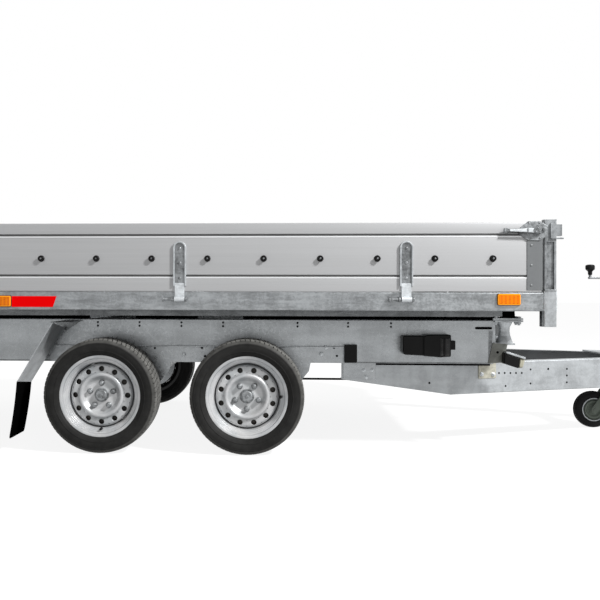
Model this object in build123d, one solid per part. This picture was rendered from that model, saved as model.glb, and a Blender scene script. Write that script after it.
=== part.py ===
from build123d import *
import math
import os

# Tandem-axle tipper trailer with an aluminium drop-side bed, in millimetres.
# X runs forward, Y to the trailer's left and Z up from the floor. While the pieces are made,
# X = 0 is midway between the two axles; they are written with X = 0 midway along the trailer.

os.makedirs("parts", exist_ok=True)

# Wheels and axles
WHEEL_R = 262.5
AXLE_SPACING = 670
TRACK = 1545
TYRE_WIDTH = 195
SIDEWALL = 80.5
LIP_HEIGHT = 14
LIP_R = WHEEL_R - SIDEWALL
BEAD_R = LIP_R - LIP_HEIGHT
LIP_HALF = 78
RIM_WALL = 3.5
WELL_DROP = 18
WELL_R = BEAD_R - WELL_DROP
SKIRT_R = WELL_R - RIM_WALL + 0.5
DISC_FACE = 30
# The disc's front and rear outline as (out from its face, share of the skirt's radius)
DISC_FRONT = ((4, 0.504), (22, 0.585), (24, 0.647), (21, 0.708), (12, 0.762), (11, 0.898),
              (4, 0.966))
DISC_REAR = ((0, 0.939), (7, 0.885), (8, 0.776), (17, 0.694), (20, 0.647), (18, 0.599),
             (0, 0.524))
VENT_HOLES = 12
VENT_HOLE_R = 0.075 * SKIRT_R
VENT_CIRCLE_R = 0.83 * SKIRT_R
HUB_CAP_R = 27.5
DRUM_R = 0.925 * SKIRT_R
DRUM_INNER = -58
SPINDLE_R = 20
AXLE_LEAD = 170
AXLE_Z = 335
AXLE_TUBE = 70
ARM_HEIGHT = 76
ARM_THICK = 22
ARM_GAP = 4
BACKPLATE_THICK = 8

# Chassis
SHEET = 4
RAIL_INSET = 132.5
RAIL_OUT = TRACK / 2 - RAIL_INSET
RAIL_BOTTOM = 402
RAIL_TOP = 610
RAIL_FLANGE = 50
RAIL_REAR = -1530
RAIL_FRONT = 1490
CROSS_TUBE_X = 820
CROSS_TUBE_W = 60
CROSS_TUBE_H = 85
CROSS_TUBE_REACH = RAIL_OUT + 20
CAP_THICK = 6
PAD_RUNS = ((-1440, -440), (-210, 90), (310, 1440))
PAD_IN = RAIL_OUT - 38
PAD_OUT = RAIL_OUT - 6
REST_X = 1560
REST_Y = RAIL_OUT - 40
COLUMN_X = REST_X - 11
LEDGE_Z = 500
REST_PLATE_Z = 600
REST_PLATE = 8
BUFFER_X = REST_X + 7
LIGHT_BAR_LOW = 440
LIGHT_BAR_TOP = 530
LIGHT_BAR_HALF = 860
TAIL_LAMP_IN = RAIL_OUT - 60
TAIL_LAMP_DEEP = 46
FLAP_TOP = (-700, 314)
FLAP_BOTTOM = (-742, 68)
FLAP_IN = RAIL_OUT + 30
FLAP_OUT = FLAP_IN + 200
FLAP_THICK = 6
CHOCK_X = 1065
CHOCK_LOW = 434
CHOCK_TOP = 531
AXLE_RAIL_HEIGHT = 78
AXLE_RAIL_LIP = 14
AXLE_RAIL_REAR = -620

# Drawbar
BEAM_INSET = 40
BEAM_OUT = RAIL_OUT - BEAM_INSET
BEAM_HEIGHT = 152
BEAM_REAR_HEIGHT = 82
BEAM_FLANGE = 45
BEAM_REAR = 782
BEAM_KINK = 1305
BEAM_TIP = 2700
BEAM_TIP_OUT = 60
BRAKE_ROD_REAR = (AXLE_SPACING / 2 + AXLE_LEAD + AXLE_TUBE / 2, 60, 322)
BRAKE_ROD_FRONT = (2490, 60, 392)
BRAKE_ROD_R = 6
SHAFT_Z = 452
SHAFT_R = 24
BALL_X = 3005
BALL_R = 25
FRONT_END = 3080

# Bed
BED_REAR = -1612
BED_FRONT = 1686
BED_HALF = 905
FRAME_BOTTOM = 657
FRAME_TOP = 739
FRAME_WALL = 3
FLOOR_THICK = 12
END_FLANGE = 40
CROSS_BOTTOM = 664
SUBFRAME_BOTTOM = 624
SUBFRAME_OUT = RAIL_OUT - 4
SUBFRAME_WIDTH = 58

# Drop sides
BOARD_THICK = 25
BOARD_GAP = 3
BOARD_HEIGHT = 303
BOARD_REAR = -1545
BOARD_FRONT = 1620
GROOVES = (53, 234)
GROOVE_WIDTH = 6
GROOVE_DEPTH = 3
POST_WIDTH = 53
POST_DEPTH = 33
POST_SETBACK = 2
POST_DENT = 9
POST_RIM = 10
POST_TOP = 1057
POST_FOOT = 589
HINGE_OUT = 13
HINGE_Z = 707
KNUCKLE_R = 12
PIN_R = 6
PIN_GAP = 0.5
STRAP_FRONT_X = 1037
STRAP_PITCH = 1000
SIDE_STRAPS = tuple(STRAP_FRONT_X - STRAP_PITCH * step for step in range(3))
TAIL_STRAPS = (-540, 540)
TAIL_HALF = BED_HALF - POST_DEPTH - 6
STRAP_WIDTH = 58
STRAP_PROUD = 10
STRAP_LOW = 765
STRAP_TOP = 964
TONGUE_WIDTH = 45
PIN_TAIL = 50
LATCH_Z = 1008
SIDE_LAMP_X = (1429, -826)
SIDE_LAMP_LONG = 101
SIDE_LAMP_LOW = 682
SIDE_LAMP_HIGH = 734
SIDE_LAMP_DEEP = 12

# Tipping gear
TIP_X = -1490
TIP_Z = 628
TIP_PIN_R = 12
TRUNNION_X = -408
TRUNNION_Z = 430
BARREL_BOTTOM = 250
BARREL_TOP = 560
BARREL_R = 62
STAGE_WALL = 8
STAGE_STEP = 9
STAGES = 4
EYE_X = -390
EYE_Z = 615
EYE_R = 29
EYE_BORE_R = 22
EYE_PIN_R = 8
TRUNNION_R = 18
CRADLE_LOW = 420
CRADLE_TOP = 590
CROSS_PLACES = (TIP_X, -940, EYE_X, 90, 570, 1050, 1370, REST_X)

# Jockey wheel
LEG_X = 2310
CASTER = 100
JOCKEY_R = 100
JOCKEY_WIDTH = 55
LEG_TUBE_R = 30
LEG_TUBE_LOW = 345
LEG_TUBE_TOP = 760
LEG_HEAD = 24
LEG_R = 26
LEG_LOW = 215
LEG_HIGH = 560
FORK_TOP = 209
FORK_GAP = 4
FORK_WALL = 5
CRANK_Z = 816
CRANK_REACH = 113

REAR_END = BED_REAR - HINGE_OUT - KNUCKLE_R
ORIGIN_X = (REAR_END + FRONT_END) / 2
BOARD_BOTTOM = FRAME_TOP + BOARD_GAP
BOARD_TOP = BOARD_BOTTOM + BOARD_HEIGHT
CLEAR = 0.5


def outline(points, rounded=()):
    """A closed outline; rounded lists (corner number, radius)."""
    face = make_face(Polyline(*points, close=True))
    for index, radius in rounded:
        corner = face.vertices().sort_by_distance((*points[index], 0))[0]
        face = fillet(corner, radius)
    return face


def along_x(face, x0, x1):
    """A (y, z) outline carried from x0 to x1."""
    return extrude(Plane.YZ.offset(x0) * face, x1 - x0)


def along_y(face, y0, y1):
    """An (x, z) outline carried from y0 to y1."""
    return extrude(Plane.XZ.offset(-y1) * face, y1 - y0)


def along_z(face, z0, z1):
    """An (x, y) outline carried from z0 to z1."""
    return extrude(Plane.XY.offset(z0) * face, z1 - z0)


def block(x0, x1, y0, y1, z0, z1):
    middle = Pos((x0 + x1) / 2, (y0 + y1) / 2, (z0 + z1) / 2)
    return middle * Box(x1 - x0, y1 - y0, z1 - z0)


def rod(start, end, radius):
    run = Vector(*end) - Vector(*start)
    return extrude(Plane(origin=start, z_dir=run) * Circle(radius), run.length)


def turned_y(face, x, z):
    """A (y, radius) outline turned about the crosswise line through x, z."""
    return revolve(Plane.YZ.offset(x) * (Pos(0, z) * face), Axis((x, 0, z), (0, 1, 0)))


def turned_z(face, x, y):
    """A (radius, z) outline turned about the upright line through x, y."""
    return revolve(Pos(x, y, 0) * (Plane.XZ * face), Axis((x, y, 0), (0, 0, 1)))


def flipped(shape):
    """The same piece for the other side of the trailer."""
    return mirror(shape, about=Plane.XZ)


def pair(shape):
    return Compound([*shape.solids(), *flipped(shape).solids()])


def channel(out, bottom, top, flange, wall):
    """A folded channel in (y, z), its web at y = out and its flanges inward."""
    inner = out - wall
    edge = out - flange
    points = [(out, bottom), (out, top), (edge, top), (edge, top - wall), (inner, top - wall),
              (inner, bottom + wall), (edge, bottom + wall), (edge, bottom)]
    return outline(points, ((0, wall + 2), (1, wall + 2), (4, 2), (5, 2)))


def cross_channel(x, width, bottom, top, wall):
    """A channel in (x, z) that opens rearward, its web at x."""
    back = x - width
    points = [(x, bottom), (x, top), (back, top), (back, top - wall), (x - wall, top - wall),
              (x - wall, bottom + wall), (back, bottom + wall), (back, bottom)]
    return outline(points)


def tyre(x):
    """A low tyre, solid to its bead seat, with round sidewalls and a slightly crowned tread."""
    half = TYRE_WIDTH / 2
    bead = LIP_HALF - 8.3
    shoulder_y = half - 13
    shoulder_r = WHEEL_R - 9
    waist = (LIP_HALF + 1, LIP_R + 8)
    seat = BEAD_R + 0.3
    side = [ThreePointArc(waist, (half, (waist[1] + shoulder_r) / 2), (shoulder_y, shoulder_r))]
    left = [ThreePointArc((-shoulder_y, shoulder_r), (-half, (waist[1] + shoulder_r) / 2),
                          (-waist[0], waist[1]))]
    crown = ThreePointArc((shoulder_y, shoulder_r), (0, WHEEL_R), (-shoulder_y, shoulder_r))
    bottom = Polyline((-waist[0], waist[1]), (-bead, LIP_R + 1), (-bead, seat),
                      (bead, seat), (bead, LIP_R + 1), waist)
    return turned_y(make_face([*side, crown, *left, bottom]), x, WHEEL_R)


def rim(x):
    """Steel rim with a drop centre, a dished disc with vent holes, its hub, cap and brake drum."""
    lip = LIP_HALF
    base = BEAD_R - RIM_WALL
    well = WELL_R
    barrel = outline([(-lip, base), (-lip, LIP_R - 2), (-lip + 2, LIP_R), (-lip + 8, LIP_R),
                      (-lip + 8, BEAD_R), (-48, BEAD_R), (-36, well), (-8, well), (4, BEAD_R),
                      (lip - 8, BEAD_R), (lip - 8, LIP_R), (lip - 2, LIP_R), (lip, LIP_R - 2),
                      (lip, base), (6, base), (-6, well - RIM_WALL), (-38, well - RIM_WALL),
                      (-50, base)])
    face = DISC_FACE
    front = [(face + out, share * SKIRT_R) for out, share in DISC_FRONT]
    rear = [(face + out, share * SKIRT_R) for out, share in DISC_REAR]
    disc = outline([(face + SHEET, HUB_CAP_R), *front, (-10, SKIRT_R), (-30, SKIRT_R),
                    (-30, SKIRT_R - SHEET), *rear, (face, HUB_CAP_R)])
    bore = SPINDLE_R + CLEAR
    hub = outline([(face + 1, 0), (face + 1, DRUM_R - 8), (face - 6, DRUM_R), (DRUM_INNER, DRUM_R),
                   (DRUM_INNER, bore), (face - 12, bore), (face - 12, 0)])
    cap = outline([(face, 0), (face + 28, 0), (face + 26, HUB_CAP_R - 8),
                   (face + 18, HUB_CAP_R), (face, HUB_CAP_R + 1)])
    body = turned_y(barrel, x, WHEEL_R) + turned_y(disc, x, WHEEL_R)
    body = body + turned_y(hub, x, WHEEL_R) + turned_y(cap, x, WHEEL_R)
    for step in range(VENT_HOLES):
        turn = 2 * math.pi * step / VENT_HOLES
        at_x = x + VENT_CIRCLE_R * math.sin(turn)
        at_z = WHEEL_R + VENT_CIRCLE_R * math.cos(turn)
        body -= rod((at_x, face + 2, at_z), (at_x, face + 30, at_z), VENT_HOLE_R)
    return body


def axle(x):
    """Rubber torsion axle: cross tube, trailing arms, seats under the rails, spindles."""
    tube_x = x + AXLE_LEAD
    half = AXLE_TUBE / 2
    arm_in = RAIL_OUT + ARM_GAP
    arm_out = arm_in + ARM_THICK
    cut = half / 2
    section = outline([(tube_x - half, AXLE_Z - cut), (tube_x - cut, AXLE_Z - half),
                       (tube_x + cut, AXLE_Z - half), (tube_x + half, AXLE_Z - cut),
                       (tube_x + half, AXLE_Z + cut), (tube_x + cut, AXLE_Z + half),
                       (tube_x - cut, AXLE_Z + half), (tube_x - half, AXLE_Z + cut)])
    body = along_y(section, -arm_in - 1, arm_in + 1)
    span = math.hypot(AXLE_LEAD, AXLE_Z - WHEEL_R)
    lean = math.degrees(math.atan2(AXLE_Z - WHEEL_R, AXLE_LEAD))
    middle = Pos(x + AXLE_LEAD / 2, (AXLE_Z + WHEEL_R) / 2)
    arm = along_y(middle * Rot(0, 0, lean) * SlotCenterToCenter(span, ARM_HEIGHT), arm_in, arm_out)
    plate_y = TRACK / 2 + DRUM_INNER - 4
    spindle = rod((x, arm_in + 1, WHEEL_R), (x, plate_y + 70, WHEEL_R), SPINDLE_R)
    plate = rod((x, plate_y - BACKPLATE_THICK, WHEEL_R), (x, plate_y, WHEEL_R), DRUM_R + 3)
    seat_low = AXLE_Z - half - 12
    seat = along_y(outline([(tube_x - 60, RAIL_BOTTOM), (tube_x + 128, RAIL_BOTTOM),
                            (tube_x + 120, RAIL_BOTTOM - 40), (tube_x + 60, seat_low),
                            (tube_x - 30, seat_low)]), RAIL_OUT - 12, RAIL_OUT - 4)
    side = arm + spindle + plate + seat
    return body + side + flipped(side)


def chassis_rail():
    body = along_x(channel(RAIL_OUT, RAIL_BOTTOM, RAIL_TOP, RAIL_FLANGE, SHEET),
                   RAIL_REAR, RAIL_FRONT)
    return body - cross_tube_space()


def cross_tube_space():
    half = CROSS_TUBE_W / 2
    return block(CROSS_TUBE_X - half, CROSS_TUBE_X + half, -RAIL_OUT - 30, RAIL_OUT + 30,
                 RAIL_BOTTOM + SHEET, RAIL_BOTTOM + SHEET + CROSS_TUBE_H)


def chassis_crossmembers():
    """Rear and front channels between the rails, and the box tube that runs out past them."""
    inside = RAIL_OUT - SHEET
    bottom = RAIL_BOTTOM + 20
    top = RAIL_TOP - 20
    rear = along_y(cross_channel(TIP_X - 20, 50, bottom, top, SHEET), -inside, inside)
    front = along_y(cross_channel(RAIL_FRONT, RAIL_FLANGE, RAIL_BOTTOM + SHEET + 3, RAIL_TOP,
                                  SHEET), -inside, inside)
    front -= pair(block(RAIL_REAR, RAIL_FRONT + 1, inside - RAIL_FLANGE, RAIL_OUT,
                        RAIL_TOP - SHEET, RAIL_TOP + 1))
    wall = 3
    half = CROSS_TUBE_W / 2
    reach = CROSS_TUBE_REACH
    low = RAIL_BOTTOM + SHEET
    tube = block(CROSS_TUBE_X - half, CROSS_TUBE_X + half, -reach, reach, low, low + CROSS_TUBE_H)
    tube -= block(CROSS_TUBE_X - half + wall, CROSS_TUBE_X + half - wall, -reach, reach,
                  low + wall, low + CROSS_TUBE_H - wall)
    return Compound([*rear.solids(), *front.solids(), *tube.solids()])


def tube_caps():
    """Black plastic caps in the ends of the cross tube."""
    half = CROSS_TUBE_W / 2
    reach = CROSS_TUBE_REACH
    low = RAIL_BOTTOM + SHEET
    plate = block(CROSS_TUBE_X - half, CROSS_TUBE_X + half, reach, reach + CAP_THICK,
                  low, low + CROSS_TUBE_H)
    plug = block(CROSS_TUBE_X - half + 4, CROSS_TUBE_X + half - 4, reach - 14, reach,
                 low + 4, low + CROSS_TUBE_H - 4)
    return pair(fillet(plate.edges().filter_by(Axis.Y), 5) + plug)


def axle_rail():
    """Angle along the foot of the chassis rail that carries the axle seats."""
    out = RAIL_OUT + SHEET
    top = RAIL_BOTTOM + AXLE_RAIL_HEIGHT
    lip = out + AXLE_RAIL_LIP
    face = outline([(RAIL_OUT, RAIL_BOTTOM), (out, RAIL_BOTTOM), (out, top - SHEET),
                    (lip, top - SHEET), (lip, top), (RAIL_OUT, top)], ((2, 2), (5, 3)))
    return along_x(face, AXLE_RAIL_REAR, CROSS_TUBE_X - CROSS_TUBE_W / 2)


def drawbar_beam():
    """Folded beam: a tapering web under the rail, then a straight run in to the tip."""
    top = RAIL_BOTTOM
    bottom = top - BEAM_HEIGHT
    rear_bottom = top - BEAM_REAR_HEIGHT
    inner = BEAM_OUT - SHEET
    edge = BEAM_OUT - BEAM_FLANGE
    web = along_y(outline([(BEAM_REAR, rear_bottom), (BEAM_KINK, bottom), (BEAM_KINK, top),
                           (BEAM_REAR, top)]), inner, BEAM_OUT)
    upper = block(BEAM_REAR, BEAM_KINK, edge, inner, top - SHEET, top)
    lower = along_y(outline([(BEAM_REAR, rear_bottom), (BEAM_KINK, bottom),
                             (BEAM_KINK, bottom + SHEET), (BEAM_REAR, rear_bottom + SHEET)]),
                    edge, inner)
    run = Vector(BEAM_TIP - BEAM_KINK, BEAM_TIP_OUT - BEAM_OUT, 0)
    outward = Vector(BEAM_OUT - BEAM_TIP_OUT, BEAM_TIP - BEAM_KINK, 0).normalized()
    start = Plane(origin=(BEAM_KINK, BEAM_OUT, bottom), x_dir=outward, z_dir=run)
    arm = extrude(start * channel(0, 0, BEAM_HEIGHT, BEAM_FLANGE, SHEET), run.length)
    return web + upper + lower + arm


def beam_out_at(x):
    """Distance of the beam's outer face from the middle, ahead of the kink."""
    share = (x - BEAM_KINK) / (BEAM_TIP - BEAM_KINK)
    return BEAM_OUT + share * (BEAM_TIP_OUT - BEAM_OUT)


def drawbar_ties():
    """Plates that join the beams: a cross channel at the kink, the bridge for the jockey wheel
    and the seat of the overrun device."""
    top = RAIL_BOTTOM
    reach = BEAM_OUT - SHEET - 3
    kink_x = BEAM_KINK - 20
    cross = along_y(cross_channel(kink_x, 60, top - BEAM_HEIGHT + 20, top - SHEET, SHEET),
                    -reach, reach)
    cross -= brake_rod(2 * BRAKE_ROD_R)
    rear_x, front_x = LEG_X - 60, LEG_X + 60
    bridge = along_z(outline([(rear_x, -beam_out_at(rear_x)), (front_x, -beam_out_at(front_x)),
                              (front_x, beam_out_at(front_x)), (rear_x, beam_out_at(rear_x))]),
                     top, top + 8)
    bridge -= rod((LEG_X, 0, top - 1), (LEG_X, 0, top + 9), LEG_TUBE_R)
    seat_x = BEAM_TIP - 260
    seat = along_z(outline([(seat_x, -beam_out_at(seat_x)), (BEAM_TIP, -BEAM_TIP_OUT),
                            (BEAM_TIP, BEAM_TIP_OUT), (seat_x, beam_out_at(seat_x))]),
                   top, top + 8)
    return Compound([*cross.solids(), *bridge.solids(), *seat.solids()])


def overrun_device():
    """Cast body of the overrun brake with its shaft, on the seat plate."""
    seat = RAIL_BOTTOM + 8
    x = BEAM_TIP
    side = outline([(x - 250, seat), (x + 30, seat), (x + 55, SHAFT_Z - 34),
                    (x + 60, SHAFT_Z + 34), (x - 140, SHAFT_Z + 42), (x - 230, SHAFT_Z + 10)],
                   ((3, 12), (4, 20), (5, 16)))
    body = along_y(side, -42, 42)
    foot = block(x - 240, x - 10, -58, 58, seat, seat + 10)
    shaft = rod((x + 55, 0, SHAFT_Z), (x + 230, 0, SHAFT_Z), SHAFT_R)
    return body + foot + shaft


def gaiter():
    """Rubber bellows round the shaft, as a stack of folds."""
    start, end, folds = BEAM_TIP + 61, BEAM_TIP + 172, 7
    pitch = (end - start) / folds
    crest, valley = 40, 31
    points = [(SHAFT_R + 0.3, start), (valley, start)]
    for fold in range(folds):
        points += [(crest, start + (fold + 0.5) * pitch), (valley, start + (fold + 1) * pitch)]
    points.append((SHAFT_R + 0.3, end))
    face = outline(points)
    body = revolve(Plane.XZ * face, Axis.Z)
    return Pos(0, 0, SHAFT_Z) * Rot(0, 90, 0) * body


def coupling_head():
    """Pressed ball coupling with an open socket, clamped over the shaft, and its handle."""
    top = SHAFT_Z + 34
    rear = BEAM_TIP + 174
    side = outline([(rear, SHAFT_Z - 32), (BALL_X - 55, SHAFT_Z - 32), (BALL_X - 37, SHAFT_Z - 50),
                    (FRONT_END - 14, SHAFT_Z - 50), (FRONT_END, SHAFT_Z - 36),
                    (FRONT_END - 8, SHAFT_Z + 8), (BALL_X, SHAFT_Z + 30), (BALL_X - 45, top),
                    (rear, top)], ((4, 10), (5, 14), (7, 18)))
    body = along_y(side, -37, 37)
    ball_z = SHAFT_Z - 28
    body -= Pos(BALL_X, 0, ball_z) * Sphere(BALL_R + CLEAR)
    body -= rod((BALL_X, 0, ball_z), (BALL_X, 0, ball_z - 60), BALL_R + CLEAR)
    body -= rod((rear - 14, 0, SHAFT_Z), (BEAM_TIP + 230, 0, SHAFT_Z), SHAFT_R)
    x, z = BALL_X, SHAFT_Z
    handle = along_y(outline([(x - 15, z + 30), (x - 40, z + 33), (x - 155, z + 66),
                              (x - 155, z + 78), (x - 125, z + 80), (x - 5, z + 48)],
                             ((3, 5), (4, 8), (5, 8))), -16, 16)
    return body + handle


def brake_rod(radius):
    """Rod from the front axle to the overrun device, under the jockey wheel's bridge."""
    return rod(BRAKE_ROD_REAR, BRAKE_ROD_FRONT, radius)


def handbrake():
    """Handbrake lever with its quadrant, on the side of the overrun device."""
    pivot_x, pivot_z = BEAM_TIP - 120, SHAFT_Z + 10
    quadrant = along_y(outline([(pivot_x - 60, pivot_z - 20), (pivot_x + 60, pivot_z - 20),
                                (pivot_x + 50, pivot_z + 70), (pivot_x - 30, pivot_z + 90)],
                               ((2, 20), (3, 20))), 42, 48)
    lever = rod((pivot_x - 20, 60, pivot_z + 20), (pivot_x + 250, 60, pivot_z + 76), 11)
    grip = rod((pivot_x + 250, 60, pivot_z + 76), (pivot_x + 360, 60, pivot_z + 99), 15)
    boss = rod((pivot_x - 20, 42, pivot_z + 20), (pivot_x - 20, 74, pivot_z + 20), 20)
    end_x, end_y, end_z = BRAKE_ROD_FRONT
    lug = block(end_x - 20, end_x, end_y - 8, end_y + 8, end_z - 6, RAIL_BOTTOM)
    return Compound([quadrant + lever + grip + boss, brake_rod(BRAKE_ROD_R) + lug])


def lean_plane(top_x, top_z, low_x, low_z):
    """A sloping plane across the trailer: its x is Y, its y runs up the slope."""
    up = Vector(top_x - low_x, 0, top_z - low_z).normalized()
    return Plane(origin=(top_x, 0, top_z), x_dir=(0, 1, 0), z_dir=Vector(0, 1, 0).cross(up))


def mudflap_bracket():
    """Sloping plate behind the rear wheel that widens down to the flap, with folded edges."""
    top_x, top_z = -588, 560
    low_x, low_z = FLAP_TOP
    slope = math.hypot(top_x - low_x, top_z - low_z)
    plane = lean_plane(top_x, top_z, low_x, low_z)
    face = outline([(RAIL_OUT, 0), (RAIL_OUT + 110, 0), (FLAP_OUT, -slope + 60),
                    (FLAP_OUT, -slope), (FLAP_IN, -slope), (RAIL_OUT + 6, -slope + 60),
                    (RAIL_OUT, -60)])
    plate = extrude(plane * face, 3)
    clamp = outline([(FLAP_IN, 1), (FLAP_OUT, 1), (FLAP_OUT, -36), (FLAP_IN, -36)])
    plate += extrude(lean_plane(*FLAP_TOP, *FLAP_BOTTOM) * clamp, 3)
    fold = extrude(plane * outline([(FLAP_IN, -slope + 40), (FLAP_IN + 3, -slope + 40),
                                    (FLAP_IN + 3, -40), (RAIL_OUT + 30, -40)]), 14)
    foot = block(top_x - 20, top_x + 100, RAIL_OUT, RAIL_OUT + 5, top_z - 32, top_z + 28)
    shelf = block(top_x - 6, top_x + 90, RAIL_OUT, RAIL_OUT + 110, top_z - 2, top_z + 2)
    return plate + fold + foot + shelf


def mudflap():
    """Rubber flap hung on the bracket's lower edge."""
    slope = math.hypot(FLAP_TOP[0] - FLAP_BOTTOM[0], FLAP_TOP[1] - FLAP_BOTTOM[1])
    plane = lean_plane(*FLAP_TOP, *FLAP_BOTTOM)
    face = outline([(FLAP_IN, 0), (FLAP_OUT, 0), (FLAP_OUT, -slope), (FLAP_IN, -slope)],
                   ((2, 12), (3, 12)))
    return extrude(plane.offset(-FLAP_THICK) * face, FLAP_THICK - 0.3)


def bed_rest():
    """Bracket, waisted column and bolted plates at the rail's front end, where the bed rests."""
    low, top = LEDGE_Z, REST_PLATE_Z
    body = turned_z(outline([(0, low), (42, low), (40, low + 8), (30, low + 35), (27, low + 55),
                             (28, low + 75), (38, top - 6), (40, top), (0, top)]),
                    COLUMN_X, REST_Y)
    upper_z = top + REST_PLATE + 2
    for z in (top, upper_z):
        body += block(REST_X - 70, REST_X + 70, REST_Y - 35, REST_Y + 35, z, z + REST_PLATE)
    for bolt_x in (REST_X - 54, REST_X + 54):
        for bolt_y in (REST_Y - 22, REST_Y + 22):
            body += rod((bolt_x, bolt_y, top - 16), (bolt_x, bolt_y, upper_z + 16), 6)
            body += rod((bolt_x, bolt_y, top - 9), (bolt_x, bolt_y, upper_z + 15), 10)
    plate = along_y(outline([(RAIL_FRONT - 20, RAIL_BOTTOM + 5), (RAIL_FRONT + 3, low + 5),
                             (RAIL_FRONT + 63, low - 9), (RAIL_FRONT + 45, RAIL_BOTTOM + 12)]),
                    RAIL_OUT, RAIL_OUT + SHEET)
    hole_x, hole_z = RAIL_FRONT + 22, RAIL_BOTTOM + 57
    plate -= rod((hole_x, RAIL_OUT - 1, hole_z), (hole_x, RAIL_OUT + 5, hole_z), 7)
    ledge = block(RAIL_FRONT, COLUMN_X + 42, REST_Y - 40, RAIL_OUT, low - 8, low)
    return body + ledge + plate


def bed_buffer():
    """Rubber block under the bed's front crossmember."""
    low = REST_PLATE_Z + 2 * REST_PLATE + 2
    face = outline([(BUFFER_X - 30, low), (BUFFER_X + 30, low),
                    (BUFFER_X + 27, CROSS_BOTTOM - 0.3), (BUFFER_X - 27, CROSS_BOTTOM - 0.3)],
                   ((2, 6), (3, 6)))
    return along_y(face, REST_Y - 20, REST_Y + 20)


def bed_buffers():
    """The rubber blocks, and the strips on the rails that the lowered bed lies on."""
    solids = [*pair(bed_buffer()).solids()]
    for x0, x1 in PAD_RUNS:
        pad = block(x0, x1, PAD_IN, PAD_OUT, RAIL_TOP, SUBFRAME_BOTTOM - 0.3)
        solids += pair(pad).solids()
    return Compound(solids)


def marker_lamp():
    """Front marker lamp in a rubber body, hung from the bed rest's bracket."""
    lamp_x, lamp_z = RAIL_FRONT + 100, RAIL_BOTTOM + 18
    face = outline([(lamp_x - 37, lamp_z + 39), (lamp_x + 47, lamp_z + 7),
                    (lamp_x + 24, lamp_z - 40), (lamp_x - 46, lamp_z - 8)],
                   ((0, 4), (1, 4), (2, 4), (3, 4)))
    side = RAIL_OUT - SHEET
    lamp = along_y(face, side, side + 52)
    rear, top = RAIL_FRONT + 4, LEDGE_Z - 8
    arm = along_y(outline([(rear, lamp_z - 6), (lamp_x - 20, lamp_z - 6),
                           (lamp_x - 20, lamp_z + 26), (rear + 36, top), (rear, top)]),
                  side - SHEET, side)
    return lamp + arm


def wheel_chock():
    """Moulded chock in its holder, on the right-hand rail only."""
    start, low, high = CHOCK_X, CHOCK_LOW, CHOCK_TOP
    body = along_y(outline([(start, low + 8), (start + 115, low + 2), (start + 115, high - 4),
                            (start + 4, high - 6)], ((0, 8), (3, 6))), RAIL_OUT, RAIL_OUT + 72)
    body += along_y(outline([(start + 113, low + 2), (start + 180, low), (start + 219, low + 6),
                             (start + 219, high), (start + 130, high + 3), (start + 113, high - 6)],
                            ((1, 8), (2, 6), (3, 6), (4, 6))), RAIL_OUT, RAIL_OUT + 82)
    body += block(start + 176, start + 188, RAIL_OUT + 80, RAIL_OUT + 88, low + 8, high - 4)
    body += block(start + 204, start + 212, RAIL_OUT + 80, RAIL_OUT + 88, low + 10, high - 8)
    body += block(start + 215, start + 247, RAIL_OUT + 20, RAIL_OUT + 60, low + 36, low + 76)
    return flipped(body)


def light_bar():
    points = [(RAIL_REAR, LIGHT_BAR_LOW), (RAIL_REAR, LIGHT_BAR_TOP),
              (RAIL_REAR - 3, LIGHT_BAR_TOP), (RAIL_REAR - 3, LIGHT_BAR_LOW + 3),
              (RAIL_REAR - 30, LIGHT_BAR_LOW + 3), (RAIL_REAR - 30, LIGHT_BAR_LOW)]
    return along_y(outline(points), -LIGHT_BAR_HALF, LIGHT_BAR_HALF)


def tail_lamp():
    x0 = RAIL_REAR - 3
    lamp = block(x0 - TAIL_LAMP_DEEP, x0, TAIL_LAMP_IN, TAIL_LAMP_IN + 240,
                 LIGHT_BAR_LOW + 3, LIGHT_BAR_TOP + 3)
    return pair(fillet(lamp.edges().filter_by(Axis.X), 12))


def tip_hinge_bracket():
    """Plate on the rail that carries the bed's hinge pin."""
    plate = block(TIP_X - 38, TIP_X + 38, RAIL_OUT, RAIL_OUT + 8, 470, TIP_Z)
    plate += rod((TIP_X, RAIL_OUT, TIP_Z), (TIP_X, RAIL_OUT + 8, TIP_Z), 28)
    return plate - rod((TIP_X, RAIL_OUT - 1, TIP_Z), (TIP_X, RAIL_OUT + 9, TIP_Z),
                       TIP_PIN_R + CLEAR)


def tip_hinge_lug():
    """Lug under the bed's rear crossmember, with the hinge pin."""
    y0, y1 = RAIL_OUT + 12, RAIL_OUT + 20
    plate = block(TIP_X - 24, TIP_X + 24, y0, y1, TIP_Z, CROSS_BOTTOM)
    plate += rod((TIP_X, y0, TIP_Z), (TIP_X, y1, TIP_Z), 28)
    return plate + rod((TIP_X, RAIL_OUT + 1, TIP_Z), (TIP_X, y1 + 6, TIP_Z), TIP_PIN_R)


def cylinder_cradle():
    """Two crossbeams and the cheeks that hold the tipping cylinder's trunnions."""
    inside = RAIL_OUT - SHEET
    low, top = CRADLE_LOW, CRADLE_TOP
    rear_x, front_x = TRUNNION_X - 107, TRUNNION_X + 128
    body = along_y(cross_channel(rear_x, 40, low, top, SHEET), -inside, inside)
    body += along_y(cross_channel(front_x, 40, low, top, SHEET), -inside, inside)
    cheek = block(rear_x - 2, front_x - 36, 78, 90, TRUNNION_Z - 34, TRUNNION_Z + 60)
    cheek -= rod((TRUNNION_X, 70, TRUNNION_Z), (TRUNNION_X, 100, TRUNNION_Z),
                 TRUNNION_R + CLEAR)
    return body + cheek + flipped(cheek)


def stage_radius(stage):
    """Outer radius of stage 1 to STAGES; each slides in the one before."""
    return BARREL_R - STAGE_WALL - 3 - STAGE_STEP * (stage - 1)


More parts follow.
